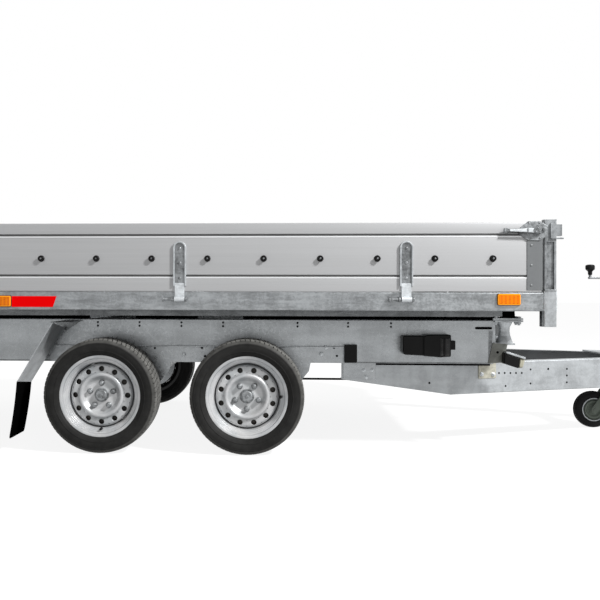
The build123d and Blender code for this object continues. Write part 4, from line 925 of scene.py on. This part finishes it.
def strap_tongue(side, x):
    """Tongue from the strap's foot to the hinge, and the knuckle that turns on the pin."""
    tongue = stamp(slab(43, 72, 3), on_side(side, x, BED_HALF + 3, 742), OUT[side],
                   [(-2.4, 0), (3.4, 0), (4.4, 1)])
    knuckle = lathe([(0, 6.6), (0, 11.2), (0.8, 12), (KNUCKLE - 0.8, 12), (KNUCKLE, 11.2),
                     (KNUCKLE, 6.6)], on_side(side, x - KNUCKLE / 2, HINGE_OUT, HINGE_Z),
                    (1, 0, 0), 28, closed=True)
    return [tongue, knuckle]


def latch_parts(side, shapes, levels, radius):
    """Plates of the latch at both ends of the board; a shape's x runs out toward its end."""
    return [side_plate(side, [(end_x + way * along, LATCH_Z + up) for along, up in shape],
                       BED_HALF, levels, radius) for end_x, way in BOARD_ENDS for shape in shapes]


def latch_bosses(side, end_x, way):
    """Pivot of the latch lever, the roller of its hook and a rivet at each corner of the plate."""
    shells = [lathe([(6, 15), (22, 15), (24.2, 13.5), (24.6, 6), (23.4, 5), (23.4, 1)],
                    on_side(side, end_x - way * 28, BED_HALF, LATCH_Z), OUT[side], 28),
              lathe([(6, 8), (13, 8), (14, 7)],
                    on_side(side, end_x + way * 8, BED_HALF, LATCH_Z + 4), OUT[side], 20)]
    for along, up in ((-55, 32), (-12, 33), (-56, -32), (-10, -34)):
        at = on_side(side, end_x + way * along, BED_HALF + 7, LATCH_Z + up)
        shells.append(rivet(at, OUT[side], 4.5, 2.0, 12))
    return shells


def end_cap(side, end_x, way):
    """Folded plate over the board's end."""
    low, top = BOARD_BOTTOM + 8, LATCH_Z - 27
    back, tip = end_x - way * 63, end_x + way * 3
    face = side_plate(side, [(back, low), (tip, low), (tip, top), (back, top)], BED_HALF,
                      [(0.2, 0), (2.4, 0), (3, 0.6)])
    x0, x1 = sorted((end_x + way * 0.2, tip))
    return [face, box(x0, x1, *y_span(side, BED_HALF - 24, BED_HALF + 1), low, top, 0.4)]


def plank_strips(side, short, inner, outer, low, high, edge):
    """A strip in each joint of the side board, a little short of the board's ends."""
    y0, y1 = y_span(side, BED_HALF + inner, BED_HALF + outer)
    return [box(BOARD_REAR + short, BOARD_FRONT - short, y0, y1, BOARD_TOP - drop + low,
                BOARD_TOP - drop + high, edge) for drop in PLANK_DROPS]


for side, out in OUT.items():
    for name, shells, material, *stands_for in (
            ("rope_buttons", [lathe(BUTTON, on_side(side, x, BED_HALF, BUTTON_Z), out, 28)
                              for x in BUTTON_X], BLACK_PLASTIC),
            ("button_screws", [rivet(on_side(side, x, BED_HALF + 12.2, BUTTON_Z), out, 4.2, 1.8, 12)
                               for x in BUTTON_X], DULL_ZINC),
            ("strap_rims", [strap_rim(side, x) for x in STRAPS], REST_ZINC,
             f"side_fittings_{side}"),
            ("strap_beds", [strap_bed(side, x) for x in STRAPS], DULL_ZINC),
            ("strap_tongues", [shell for x in STRAPS for shell in strap_tongue(side, x)],
             BRIGHT_ZINC),
            ("strap_rivets", [rivet(on_side(side, x, BED_HALF + 4, z), out, 7.0, 3.0)
                              for x in STRAPS for z in STRAP_RIVETS], FITTING_ZINC),
            ("plank_seals", plank_strips(side, *PLANK_SEAL), SEAL_RUBBER),
            # Bright strips over the bevel under each joint: painted highlight.
            ("plank_highlights", plank_strips(side, *PLANK_HIGHLIGHT), LIP_HIGHLIGHT_ALLOY),
            ("end_caps", [shell for end in BOARD_ENDS for shell in end_cap(side, *end)], CAP_ALLOY),
            ("cap_rivets", [rivet(on_side(side, x, BED_HALF + 3, z), out, 5.5, 2.2)
                            for x, z in CAP_RIVETS], CAP_ALLOY),
            ("latch_plates", latch_parts(side, [LATCH_PLATE], [(0.5, 0), (6, 0), (7, 1)], 5.0),
             FITTING_ZINC),
            ("latch_levers", latch_parts(side, [LATCH_LEVER], [(10, 0), (19, 0), (21, 2)], 1.5),
             FITTING_ZINC),
            # Bright strips along the lever: painted highlight.
            ("latch_highlights", latch_parts(side, LATCH_HIGHLIGHTS, [(20, 0), (21.6, 0), (22.4, 0.8)],
                                          1.2), BRIGHT_ZINC),
            ("latch_bosses", [shell for end in BOARD_ENDS for shell in latch_bosses(side, *end)],
             DULL_ZINC)):
        made(f"{name}_{side}", shells, f"side_board_{side}", material, stands_for)


LAMP_PLACES = ((1479.5, 708.0), (-775.5, 695.0))
LENS_LEVELS = ((2.5, 0), (8, 0), (10, 0.8), (10.6, 2.0), (10.6, 4.6), (9.6, 5.2), (11.4, 6.2))
LENS_TONES = (1, 1, 1, 1, 1, 0, 0)
FILM = ((-724, 669), (-536, 669), (-519, 718), (-724, 718))
DECK_ENDS = (-1571.5, 1645.5)
DECK_TOP, DECK_LOW, DECK_HALF = 739.0, 727.0, 871.5
DECK_SCREWS = [(x, y, DECK_TOP) for x in (-1490, -940, -390, 90, 570, 1050, 1370, 1560)
               for y in np.linspace(-820, 820, 12)]


def side_lamps(shape, levels, tones=0.0):
    """The same form at the place of each side lamp."""
    return both(lambda side: [stamp(shape, on_side(side, x, BED_HALF, z), OUT[side], levels,
                                    tones=tones) for x, z in LAMP_PLACES])


def deck():
    """Floor sheets: a flat strip outline with five shallow joints, carried along the bed, and
    a narrow strip beside them on each side."""
    points = [(-DECK_HALF, DECK_LOW), (DECK_HALF, DECK_LOW), (DECK_HALF, DECK_TOP)]
    for joint in np.linspace(DECK_HALF, -DECK_HALF, 7)[1:-1]:
        points += [(joint + 3, DECK_TOP), (joint + 1, DECK_TOP - 1.8), (joint - 1, DECK_TOP - 1.8),
                   (joint - 3, DECK_TOP)]
    points.append((-DECK_HALF, DECK_TOP))
    sheets = carried(*np.array(points, float).T, DECK_ENDS)
    return [sheets, *flanked(-1555, 1630, DECK_HALF, 880, DECK_LOW, DECK_TOP, 0.5)]


made("side_lamp_lenses", side_lamps(slab(97, 48, 7), LENS_LEVELS, LENS_TONES), "bed", AMBER_LENS,
     ["side_lamps"], attribute="rim")
made("side_lamp_bases", side_lamps(slab(101, 52, 8), [(-0.3, 0), (2.6, 0), (3.6, 1)]), "bed",
     BLACK_PLASTIC)
made("reflector_strips", plates(FILM, BED_HALF, [(-0.2, 0), (0.5, 0), (0.7, 0.3)], 1.5), "bed",
     RED_FILM)
made("deck_sheets", deck(), "bed", DECK_ZINC, ["bed_floor"])
made("deck_screws", [rivet(at, UP, 6.5, 1.6, 10) for at in DECK_SCREWS], "bed", BRIGHT_ZINC)


SEAT_OUT = RAIL_OUT + 4
WEB_OUT = 600.0
LAMP_ARM_OUT = RAIL_OUT + 5
RAIL_HOLES = [(x, z, 4.5) for x in (-393, -190, 13, 214, 570, 810, 1012) for z in (592, 575)]
SEAT_HOLES = [(-114, 468, 5), (113, 470, 5), (128, 431, 5), (743, 475, 5), (757, 436, 5)]
WEB_HOLES = [(1201, 306, 5)]
HOLE_ROWS = ((RAIL_HOLES, RAIL_OUT), (SEAT_HOLES, SEAT_OUT), (WEB_HOLES, WEB_OUT))
SEAT_BOLTS = [(26, 438), (170, 472), (682, 445), (704, 476)]
WEB_BOLTS = [(889, 365), (928, 366), (901, 332)]


def hole_mark(radius, at, normal, ring=False):
    """A small punched hole: a dark disc of painted shade, or the raised ring round it."""
    if ring:
        return lathe([(-0.2, radius), (0.7, radius + 0.2), (0.7, radius + 1.0),
                      (-0.2, radius + 1.6)], at, normal, 20, closed=True)
    return lathe([(-0.3, radius), (0.3, radius), (0.35, radius - 0.3)], at, normal, 16)


def marks(rows, ring=False):
    return both(lambda side: [hole_mark(radius, on_side(side, x, out, z), OUT[side], ring)
                              for places, out in rows for x, z, radius in places])


made("rail_holes", marks(HOLE_ROWS), "chassis", HOLE_SHADE)
made("rail_hole_rims", marks(HOLE_ROWS, True), "chassis", RAIL_ZINC)

BRACKET_LOW, BRACKET_TOP = np.array((-711.0, 318.0)), np.array((-549.0, 583.0))
BRACKET_SECTION = np.array([(676, 0), (676, -16), (673, -16), (673, 2.2), (674, 3), (869, 3),
                            (870, 2), (870, 0)], float)
GUSSET = ((-604, 592), (-476, 598), (-548, 549))
SHELF = (-556, -470, RAIL_OUT + 1, 866, 597, 601, 0.8)


def bracket_sheet(side):
    """Mudflap bracket: a sloping sheet, its outer edge higher, with the inner edge folded back."""
    rise = BRACKET_TOP - BRACKET_LOW
    along = rise / np.linalg.norm(rise)
    y, deep = BRACKET_SECTION.T
    rings = []
    for share in np.linspace(0, 1, 8):
        x, z = BRACKET_LOW + rise * share
        lift = (12 + 4 * share) * (y - 770) / 100
        rings.append(np.column_stack([x + along[1] * deep, SIDES[side] * y,
                                      z - along[0] * deep + lift]))
    return [loft(rings)]


made("bracket_sheets", both(bracket_sheet), "chassis", REST_ZINC, ["mudflap_brackets"])
# Shelf and gusset in dark zinc: painted shade under the bracket.
made("bracket_arms", flanked(*SHELF) + plates(GUSSET, RAIL_OUT + 1, [(0, 0), (4, 0)]), "chassis",
     SHADE_ZINC)

PAD_ENDS = ((1440, 1488, 602, 634, 610.3, 623.6), (1486, 1536, 560, 584, 606, 623.6))
SUBFRAME_END = (1490, 1533, 580, 634, 626, 663.8)
REST_DARK = ((1489, 606), (1527, 606), (1522, 500), (1480, 500))
REST_FOLD = ((1487, 607), (1499, 605), (1502, 503), (1490, 501))
RAIL_END_SHADE = ((1468, 560), (1487, 558), (1480, 412), (1466, 410))
LAMP_ARM = ((1464, 405), (1486, 502), (1555, 496), (1534, 410))
LAMP_ARM_HOLES = (([(1508, 458, 6)], LAMP_ARM_OUT),)
RAIL_SLOT = ((1405, 565), (1484, 565), (1484, 577), (1405, 577))
REST_BOLTS = ((1508, 592, 8), (1510, 530, 12))
MARKER_BODY = ((1529, 458), (1600, 434), (1594, 386), (1526, 408))
MARKER_LENS = ((1599, 436), (1623, 427), (1615, 391), (1592, 386))
MARKER_TOP_HIGHLIGHT = ((1537, 466), (1624, 438), (1622, 430), (1535, 458))
CHOCK_TAIL = ((1056, 461), (1065, 449), (1166, 444), (1166, 537), (1062, 538), (1056, 532))
CHOCK_HEAD = ((1150, 444), (1226, 438), (1275, 442), (1275, 543), (1168, 543), (1150, 535))
CHOCK_LUG = (1270, 1300, -700, -655, 472, 514, 2)
CHOCK_RIBS = ((1226, 1240), (1246, 1268))
RAIL_SHADOW_LINE = (-1528, 1478, RAIL_OUT - 2, RAIL_OUT + 0.7, 402, 408.5)
BEAM_SHADOW_STRIP = (946, 1486, WEB_OUT - 2, WEB_OUT + 1.2, 390, 402)
POST_SIDE_SHADES = ((1623, 1633), (-1559, -1549))


def rest_bolts(side):
    return [shell for x, z, tall in REST_BOLTS
            for shell in bolt(on_side(side, x, 611, z), OUT[side], 12, tall)]


# Black pads at the rail ends: partly a real pad, partly painted shade in the gap under the bed.
made("pad_ends", flanked(*PAD_ENDS[0]) + flanked(*PAD_ENDS[1]), "chassis", SOFT_RUBBER)
# Subframe ends in zinc darkened as painted shade.
made("subframe_ends", flanked(*SUBFRAME_END), "bed", SHADE_ZINC)
# Dark plates on the bed rest's web and the rail's front end: painted shade.
made("rest_shade_plates", plates(REST_DARK, 608, [(0, 0), (3, 0)])
     + plates(RAIL_END_SHADE, RAIL_OUT, [(-0.3, 0), (0.6, 0)]), "chassis", SHADE_ZINC)
made("rest_folds", plates(REST_FOLD, 610, [(0, 0), (24, 0), (25, 1)]), "chassis", REST_ZINC)
made("rest_bolts", both(rest_bolts), "chassis", BRIGHT_ZINC)
made("rest_plates", plates(LAMP_ARM, RAIL_OUT + 4, [(-4, 0), (0.5, 0), (0.8, 0.4)], 2), "chassis",
     OLIVE_ZINC)
made("rest_holes", marks(LAMP_ARM_HOLES), "chassis", HOLE_SHADE)
made("marker_bodies", plates(MARKER_BODY, RAIL_OUT + 1, [(0, 0), (44, 0), (48, 3)], 5), "chassis",
     BLACK_PLASTIC, ["marker_lamps"])
made("marker_lenses", plates(MARKER_LENS, RAIL_OUT + 1, [(2, 0), (38, 0), (44, 5)], 7), "chassis",
     BEIGE_PLASTIC)
# A light strip on the marker's top: painted highlight on the black body.
made("marker_top_highlights", plates(MARKER_TOP_HIGHLIGHT, RAIL_OUT - 3, [(0, 0), (53, 0)], 1.5), "chassis",
     REST_ZINC, slot="black_plastic")


def chock_part(corners, depth, radius=5.0):
    return side_plate("right", corners, RAIL_OUT, [(0, 0), (depth - 4, 0), (depth, 4)], radius)


made("chock_parts", [chock_part(CHOCK_TAIL, 72), chock_part(CHOCK_HEAD, 82), box(*CHOCK_LUG)],
     "chassis", BLACK_PLASTIC, ["wheel_chock"])
# The ribs' lighter plastic is a painted highlight.
made("chock_ribs", [chock_part([(x0, 447), (x1, 447), (x1, 528), (x0, 528)], 87, 3)
                    for x0, x1 in CHOCK_RIBS], "chassis", RIB_HIGHLIGHT_PLASTIC)
# A dark strip under each rail's foot: painted shadow line.
made("rail_shadow_lines", flanked(*RAIL_SHADOW_LINE), "chassis", SHADE_ZINC)
# A near-black strip on the beam under the rail: painted shadow.
made("beam_shadow_strips", flanked(*BEAM_SHADOW_STRIP), "chassis", HOLE_SHADE, slot="drawbar_steel")
# Dark boxes at the posts' lower sides: painted shade.
made("post_side_shades", [shell for x0, x1 in POST_SIDE_SHADES
                      for shell in flanked(x0, x1, 870, 904, 590, 662)], "bed", SHADE_ZINC)

BEAM_KINK = 1305.0
BEAM_RUN = (540.0, 1395.0)
BEAM_HOLES = [(1557, 346, 5), (1588, 345, 5), (1619, 344, 5), (1650, 343, 5), (1682, 342, 5),
              (1731, 358, 5), (1731, 288, 5), (1831, 357, 6), (1938, 354, 5), (1938, 321, 5),
              (1938, 286, 5), (1593, 281, 5)]
BEAM_BOLTS = [(1460, 344), (1522, 342)]
KINK_PLATE = (1492, 362, 100, 80)
WEB_PLATE = ((790, 322), (946, 300), (946, 402), (790, 402))
PATCH_LEVELS = ((-0.3, 0), (3.2, 0), (4, 0.8))
PAD_TOP = 612


def on_beam(side, x, z):
    """A point on the slanting drawbar beam's outer face."""
    return on_side(side, x, WEB_OUT - (x - BEAM_KINK) * BEAM_RUN[0] / BEAM_RUN[1], z)


def beam_normal(side):
    return np.array((BEAM_RUN[0], SIDES[side] * BEAM_RUN[1], 0)) / math.hypot(*BEAM_RUN)


def beam_marks(side):
    return [hole_mark(r, on_beam(side, x, z), beam_normal(side)) for x, z, r in BEAM_HOLES]


def kink_plate(side):
    """Bolted plate on the beam just ahead of the kink."""
    x, z, width, height = KINK_PLATE
    return [stamp(rounded(slab(width, height), 4, 3), on_beam(side, x, z), beam_normal(side),
                  PATCH_LEVELS)]


def chassis_bolts(side):
    """Bolts of the axle seats, web plate, kink plate and bed rests, each turned a little."""
    rows = [(x, on_side(side, x, SEAT_OUT, z), OUT[side], 15, 7) for x, z in SEAT_BOLTS]
    rows += [(x, on_side(side, x, WEB_OUT + 4, z), OUT[side], 13, 6) for x, z in WEB_BOLTS]
    rows += [(x, on_beam(side, x, z) + 4 * beam_normal(side), beam_normal(side), 15, 7)
             for x, z in BEAM_BOLTS]
    rows += [(x, on_side(side, x, out, PAD_TOP), UP, 11, 5) for x in (1498, 1622)
             for out in (588, 614)]
    return [shell for x, *row in rows for shell in bolt(*row, x * 0.01)]


made("beam_holes", both(beam_marks), "chassis", HOLE_SHADE, slot="drawbar_steel")
made("web_plates", plates(WEB_PLATE, WEB_OUT, PATCH_LEVELS, 4), "chassis", RAIL_ZINC,
     slot="drawbar_steel")
made("kink_plates", both(kink_plate), "chassis", YELLOW_ZINC)
made("chassis_bolts", both(chassis_bolts), "chassis", BRIGHT_ZINC)

FOLDS = 7
SHAFT_Z = 452
BELLOWS_REAR, BELLOWS_LONG, BELLOWS_BORE, COLLAR = 2763, 107, 24.4, 33


def gaiter():
    """Bellows: the radius is a cosine along the shaft, with plain collars at both ends."""
    along = np.linspace(0, 1, FOLDS * 10 + 1)
    radius = 35.6 - 4.4 * np.cos(along * FOLDS * FULL_TURN)
    outer = np.column_stack([BELLOWS_REAR + along * BELLOWS_LONG, radius])
    rear, front = BELLOWS_REAR - 2, BELLOWS_REAR + BELLOWS_LONG + 2
    profile = [(rear, BELLOWS_BORE), (rear, COLLAR), (rear + 2, COLLAR), *outer,
               (front - 2, COLLAR), (front, COLLAR), (front, BELLOWS_BORE)]
    return [lathe(profile, (0, 0, SHAFT_Z), (1, 0, 0), 40, closed=True)]


made("shaft_bellows", gaiter(), "chassis", SOFT_RUBBER, ["shaft_gaiter"])

JOCKEY = (2210.0, 0.0, 100.0)
JOCKEY_TYRE = [(-21, 63), (-26, 66), (-27.5, 74), (-27, 88), (-24, 94.5), (-17, 98), (-15.5, 96.4),
               (-13.5, 98.7), (-5, 99.9), (-4, 98), (4, 98), (5, 99.9), (13.5, 98.7), (15.5, 96.4),
               (17, 98), (24, 94.5), (27, 88), (27.5, 74), (26, 66), (21, 63)]
JOCKEY_RING = ((21, 57.5), (25.6, 58.5), (26.6, 60), (26.6, 62), (25.6, 63.6), (21, 64.5))
JOCKEY_HALF = [(25, 9), (25, 20), (23.5, 22), (17, 25), (16, 31), (17, 34), (22, 38), (23.5, 42),
               (23.5, 46), (22, 49), (14, 52), (14, 56), (22, 59), (24.5, 61), (24, 63.5)]
JOCKEY_DISC = JOCKEY_HALF + [(-out, radius) for out, radius in reversed(JOCKEY_HALF)]


def about_jockey(profile, steps):
    return lathe(profile, JOCKEY, (0, 1, 0), steps, closed=True)


made("jockey_tyre", [about_jockey(JOCKEY_TYRE, 72)], "jockey_wheel", TYRE_RUBBER,
     ["jockey_wheel"], slot="rubber")
made("jockey_rings", [about_jockey([(way * out, radius) for out, radius in JOCKEY_RING], 64)
                      for way in (1, -1)], "jockey_wheel", REST_ZINC, slot="silver_paint")
made("jockey_disc", [about_jockey(JOCKEY_DISC, 48)], "jockey_wheel", OLIVE_PLASTIC)

LEG = (2310.0, 0.0, 0.0)
KNOB = (2197.0, 0.0, 0.0)
LEG_TUBE = ((215, 24), (217, 26), (250, 26), (251, 25.2), (254, 25.2), (255, 26), (556, 26),
            (560, 24))
KNOB_PROFILE = ((838, 9), (842, 11), (856, 11.5), (861, 15), (865, 20.5), (870, 24), (884, 24.6),
                (891, 22.5), (894.6, 16), (895.8, 5))
made("leg_tube", [lathe(LEG_TUBE, LEG, UP, 40)], "jockey_leg", FITTING_ZINC, ["jockey_leg"])
made("crank_arm", [lathe([(784, 9), (826, 9), (828, 7)], LEG, UP, 24),
                   box(KNOB[0] - 8, LEG[0] + 10, -10, 10, 816, 826, 2),
                   lathe([(826, 7), (845, 7)], KNOB, UP, 20)], "chassis", FITTING_ZINC,
     ["jockey_crank"])
made("crank_knob", [lathe(KNOB_PROFILE, KNOB, UP, 36)], "chassis", BLACK_PLASTIC)

LEVER_PIVOT, LEVER_END = (2560.0, 60.0, 482.0), (2830.0, 60.0, 538.0)
GRIP_AIM = (110.0, 0.0, 23.0)
GRIP = ((-6, 12), (-3, 15.6), (6, 16), (104, 16), (112, 14), (114, 9))
BRAKE_ROD = ((520, 60, 290), (600, 60, 247), (1300, 60, 247), (2490, 60, 388), (2492, 60, 402))


def tube_along(points, radius, around=16):
    """A round bar through points in the plane Y = constant, its joints square to the bend."""
    points = np.array(points, float)
    step = np.diff(points, axis=0)
    step /= np.linalg.norm(step, axis=1, keepdims=True)
    mean = np.concatenate([step[:1], step[:-1] + step[1:], step[-1:]])
    mean /= np.linalg.norm(mean, axis=1, keepdims=True)
    rise = np.stack([-mean[:, 2], np.zeros(len(mean)), mean[:, 0]], -1)
    angle = np.linspace(0, FULL_TURN, around, endpoint=False)
    across = np.array((0.0, 1.0, 0.0))
    rings = (points[:, None] + radius * np.cos(angle)[None, :, None] * across
             + radius * np.sin(angle)[None, :, None] * rise[:, None])
    return loft(rings)


def brake_lever():
    """Quadrant plate with a toothed top edge, the lever and its pivot."""
    teeth = [(2564 + 5.5 * step, 545 + 3 * (step % 2) + 5 * math.sin(step / 3.6))
             for step in range(12)]
    flat = np.array([(2520, 442), (2640, 442), (2630, 532), *reversed(teeth), (2550, 542)], float)
    middle = flat.mean(0)
    quadrant = stamp(flat - middle, (middle[0], 45, middle[1]), (0, -1, 0), [(-3, 0.4), (3, 0.4)])
    pivot = lathe([(-18, 20), (12, 20), (14, 18)], LEVER_PIVOT, (0, 1, 0), 28)
    return [quadrant, tube_along([LEVER_PIVOT, LEVER_END], 11), pivot]


made("brake_lever", brake_lever(), "chassis", FITTING_ZINC, ["handbrake"])
made("brake_rod", [tube_along(BRAKE_ROD, 6)], "chassis", SOFT_RUBBER, slot="galvanised_steel")
made("brake_grip", [lathe(GRIP, LEVER_END, GRIP_AIM, 28)], "chassis", BLACK_PLASTIC)
made("rail_slots", plates(RAIL_SLOT, RAIL_OUT, [(-0.3, 0), (0.5, 0)], 5.5), "chassis", HOLE_SHADE)

POST_MIDDLES = (1657.5, -1583.5)
POST_EDGES = (1633, 1682, -1608, -1559)
RECESS_HALF, RECESS_LOW, RECESS_TOP = 16.5, 746, 960
WELD_TOP, WELD_LOW = 742, 660


def post_recess(x):
    """Dark zinc sheet in the recess of a post, just above its floor: painted shade in the channel.
    """
    corners = [(x - RECESS_HALF, RECESS_LOW), (x + RECESS_HALF, RECESS_LOW),
               (x + RECESS_HALF, RECESS_TOP), (x - RECESS_HALF, RECESS_TOP)]
    return plates(corners, BED_HALF - 9, [(-0.3, 0), (0.4, 0)])


made("post_recess_shades", [shell for x in POST_MIDDLES for shell in post_recess(x)], "bed", DULL_ZINC)


def weld(start, end, normal, pitch=4.0):
    """A row of overlapping drops between two points."""
    start, end = np.array(start, float), np.array(end, float)
    count = int(np.linalg.norm(end - start) / pitch)
    return [rivet(start + (end - start) * step / count, normal, 3.6 + 0.7 * math.sin(2.4 * step),
                  2.4, 10) for step in range(count + 1)]


def post_welds(side):
    ends = [[on_side(side, x, BED_HALF + 0.5, z) for z in (WELD_TOP, WELD_LOW)] for x in POST_EDGES]
    return [drop for top, low in ends for drop in weld(top, low, OUT[side])]


made("post_welds", both(post_welds), "bed", BRIGHT_ZINC)

FLAP_LINE = ((-711.0, 317.0), (-720.0, 200.0), (-746.0, 68.0))
FLAP_MIDDLE, FLAP_HALF, FLAP_THIN = 770, 100, 2.6


def mudflap(side):
    """Flap as thin rounded sections down a curved line, its top edge higher on the outside."""
    top, knee, low = (np.array(point) for point in FLAP_LINE)
    section = rounded(slab(2 * FLAP_HALF, 2 * FLAP_THIN), 2.4, 4)
    rings = []
    for t in np.linspace(0, 1, 30):
        mid = (1 - t) ** 2 * top + 2 * t * (1 - t) * knee + t ** 2 * low
        down = (1 - t) * (knee - top) + t * (low - knee)
        down /= np.hypot(*down)
        narrow = 1 - 0.06 * max(0.0, (t - 0.94) / 0.06) ** 2
        y = SIDES[side] * (FLAP_MIDDLE + section[:, 0] * narrow)
        lift = 0.115 * (1 - t) * section[:, 0]
        rings.append(np.column_stack([mid[0] + down[1] * section[:, 1], y,
                                      mid[1] - down[0] * section[:, 1] + lift]))
    return [loft(rings)]


made("flap_sheets", both(mudflap), "chassis", SOFT_RUBBER, ["mudflaps"])

TAIL_X, TAIL_OUT, TAIL_Z = -1533.0, 700, 488
TAIL_PARTS = (
    ("tail_lamp_housings", 0, slab(240, 90, 12), BLACK_PLASTIC, ["tail_lamps"]),
    ("tail_lamp_stop", -78, slab(76, 80, 9), RED_LENS, []),
    ("tail_lamp_turn", 0, slab(72, 80, 9), AMBER_LENS, []),
    ("tail_lamp_reverse", 76, slab(72, 80, 9), CLEAR_LENS, []),
)
HOUSING_LEVELS = ((0.3, 2), (3, 0), (36, 0), (39, 2))
CHAMBER_LEVELS = ((37, 0), (42, 0), (44.6, 1.4), (45.4, 3.6), (44.6, 4.4), (45.8, 5.4))
CHAMBER_TONES = (1, 1, 1, 1, 0, 0)
for name, inward, shape, material, stands_for in TAIL_PARTS:
    levels, tones = (HOUSING_LEVELS, 0.0) if stands_for else (CHAMBER_LEVELS, CHAMBER_TONES)
    made(name, both(lambda side: [stamp(shape, on_side(side, TAIL_X, TAIL_OUT - inward, TAIL_Z),
                                        (-1, 0, 0), levels, tones=tones)]), "chassis", material,
         stands_for, attribute=None if stands_for else "rim")

CAD_FINISHES = {
    FRAME_ZINC: ("bed_side_rail_left", "bed_side_rail_right", "bed_end_rails"),
    # Under-bed parts in zinc darkened as painted shade.
    SHADE_ZINC: ("bed_crossmembers", "bed_subframe_rails", "tip_hinge_lugs", "cylinder_bracket",
                 "cylinder_cradle"),
    RAIL_ZINC: ("chassis_rail_left", "chassis_rail_right", "chassis_crossmembers", "axle_rails",
                "tip_hinge_brackets", "light_bar", "axle_front", "axle_rear"),
    DRAWBAR_ZINC: ("drawbar_beam_left", "drawbar_beam_right", "drawbar_ties"),
    REST_ZINC: ("bed_rests",),
    POST_ZINC: ("corner_posts",),
    FITTING_ZINC: ("tailboard_fittings", "hinge_pins", "jockey_tube"),
    OLIVE_PLASTIC: ("jockey_fork",),
    BLACK_PLASTIC: ("tube_caps",),
    SOFT_RUBBER: ("bed_buffers",),
    CAST_IRON: ("overrun_device", "coupling_head"),
    CYLINDER_PAINT: ("cylinder_barrel",),
    ROD_CHROME: tuple(f"cylinder_stage_{stage}" for stage in range(1, 5)),
}
for material, names in CAD_FINISHES.items():
    for name in names:
        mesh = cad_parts[name].data
        mesh.materials.clear()
        mesh.materials.append(material)


def white_rays(t):
    """1 for camera, mirror and glass rays, 0 for light that the surfaces gather."""
    path = t.add("LightPath").outputs
    seen = t.math("MAXIMUM", path["Is Camera Ray"], path["Is Glossy Ray"])
    return t.math("MAXIMUM", seen, path["Is Transmission Ray"])


WHITE = grey(1.0)
FLOOR = ((-60, -60, 0), (60, -60, 0), (60, 60, 0), (-60, 60, 0))
world = bpy.data.worlds.new("white room")
bpy.context.scene.world = world
sky = emptied(world)
strength = sky.between(white_rays(sky), 0.42, 1.0)
light = sky.add("Background", {"Color": WHITE, "Strength": strength})
sky.add("OutputWorld", {"Surface": light.outputs[0]})

floor_material = bpy.data.materials.new("pale floor")
ground = emptied(floor_material)
plain = ground.add("BsdfDiffuse", {"Color": grey(0.4)})
pale = ground.add("BsdfDiffuse", {"Color": grey(0.22)})
lift = ground.add("Emission", {"Color": WHITE, "Strength": 0.88})
shown = ground.add("AddShader", {0: pale.outputs[0], 1: lift.outputs[0]})
pick = ground.add("MixShader", {0: white_rays(ground), 1: plain.outputs[0], 2: shown.outputs[0]})
ground.add("OutputMaterial", {"Surface": pick.outputs[0]})
floor_mesh = bpy.data.meshes.new("floor")
floor_mesh.from_pydata(FLOOR, [], [(0, 1, 2, 3)])
floor_mesh.materials.append(floor_material)
floor = bpy.data.objects.new("floor", floor_mesh)
bpy.context.scene.collection.objects.link(floor)


def area_lamp(name, place, aim, size, power):
    lamp = bpy.data.lights.new(name, "AREA")
    lamp.shape = "DISK"
    lamp.size = size
    lamp.energy = power
    holder = bpy.data.objects.new(name, lamp)
    away = np.array(place, float) - np.array(aim, float)
    away /= np.linalg.norm(away)
    side = np.cross((0, 0, 1), away)
    side /= np.linalg.norm(side)
    up = np.cross(away, side)
    turn = np.eye(4)
    turn[:3, 0], turn[:3, 1], turn[:3, 2], turn[:3, 3] = side, up, away, place
    holder.matrix_world = Matrix(turn.tolist())
    bpy.context.scene.collection.objects.link(holder)


KEY_PLACE, KEY_AIM = (4.26, -3.7, 5.04), (0.1, -0.9, 0.88)
CAMERA_PLACE = (-0.2665, -4.25, 0.733)
CAMERA_YAW, CAMERA_ROLL = 2.95, 0.128
area_lamp("key", KEY_PLACE, KEY_AIM, 0.8, 700)

camera = bpy.data.cameras.new("photo camera")
camera.sensor_width = 36
camera.lens = 45.24
camera.shift_x = 0.109
camera.shift_y = -0.0113
camera.clip_end = 200
viewer = bpy.data.objects.new("photo camera", camera)
viewer.matrix_world = (Matrix.Translation(CAMERA_PLACE)
                       @ Matrix.Rotation(math.radians(CAMERA_YAW), 4, "Z")
                       @ Matrix.Rotation(math.radians(90), 4, "X")
                       @ Matrix.Rotation(math.radians(CAMERA_ROLL), 4, "Z"))
bpy.context.scene.collection.objects.link(viewer)
bpy.context.scene.camera = viewer
bpy.context.scene.view_settings.view_transform = "Standard"
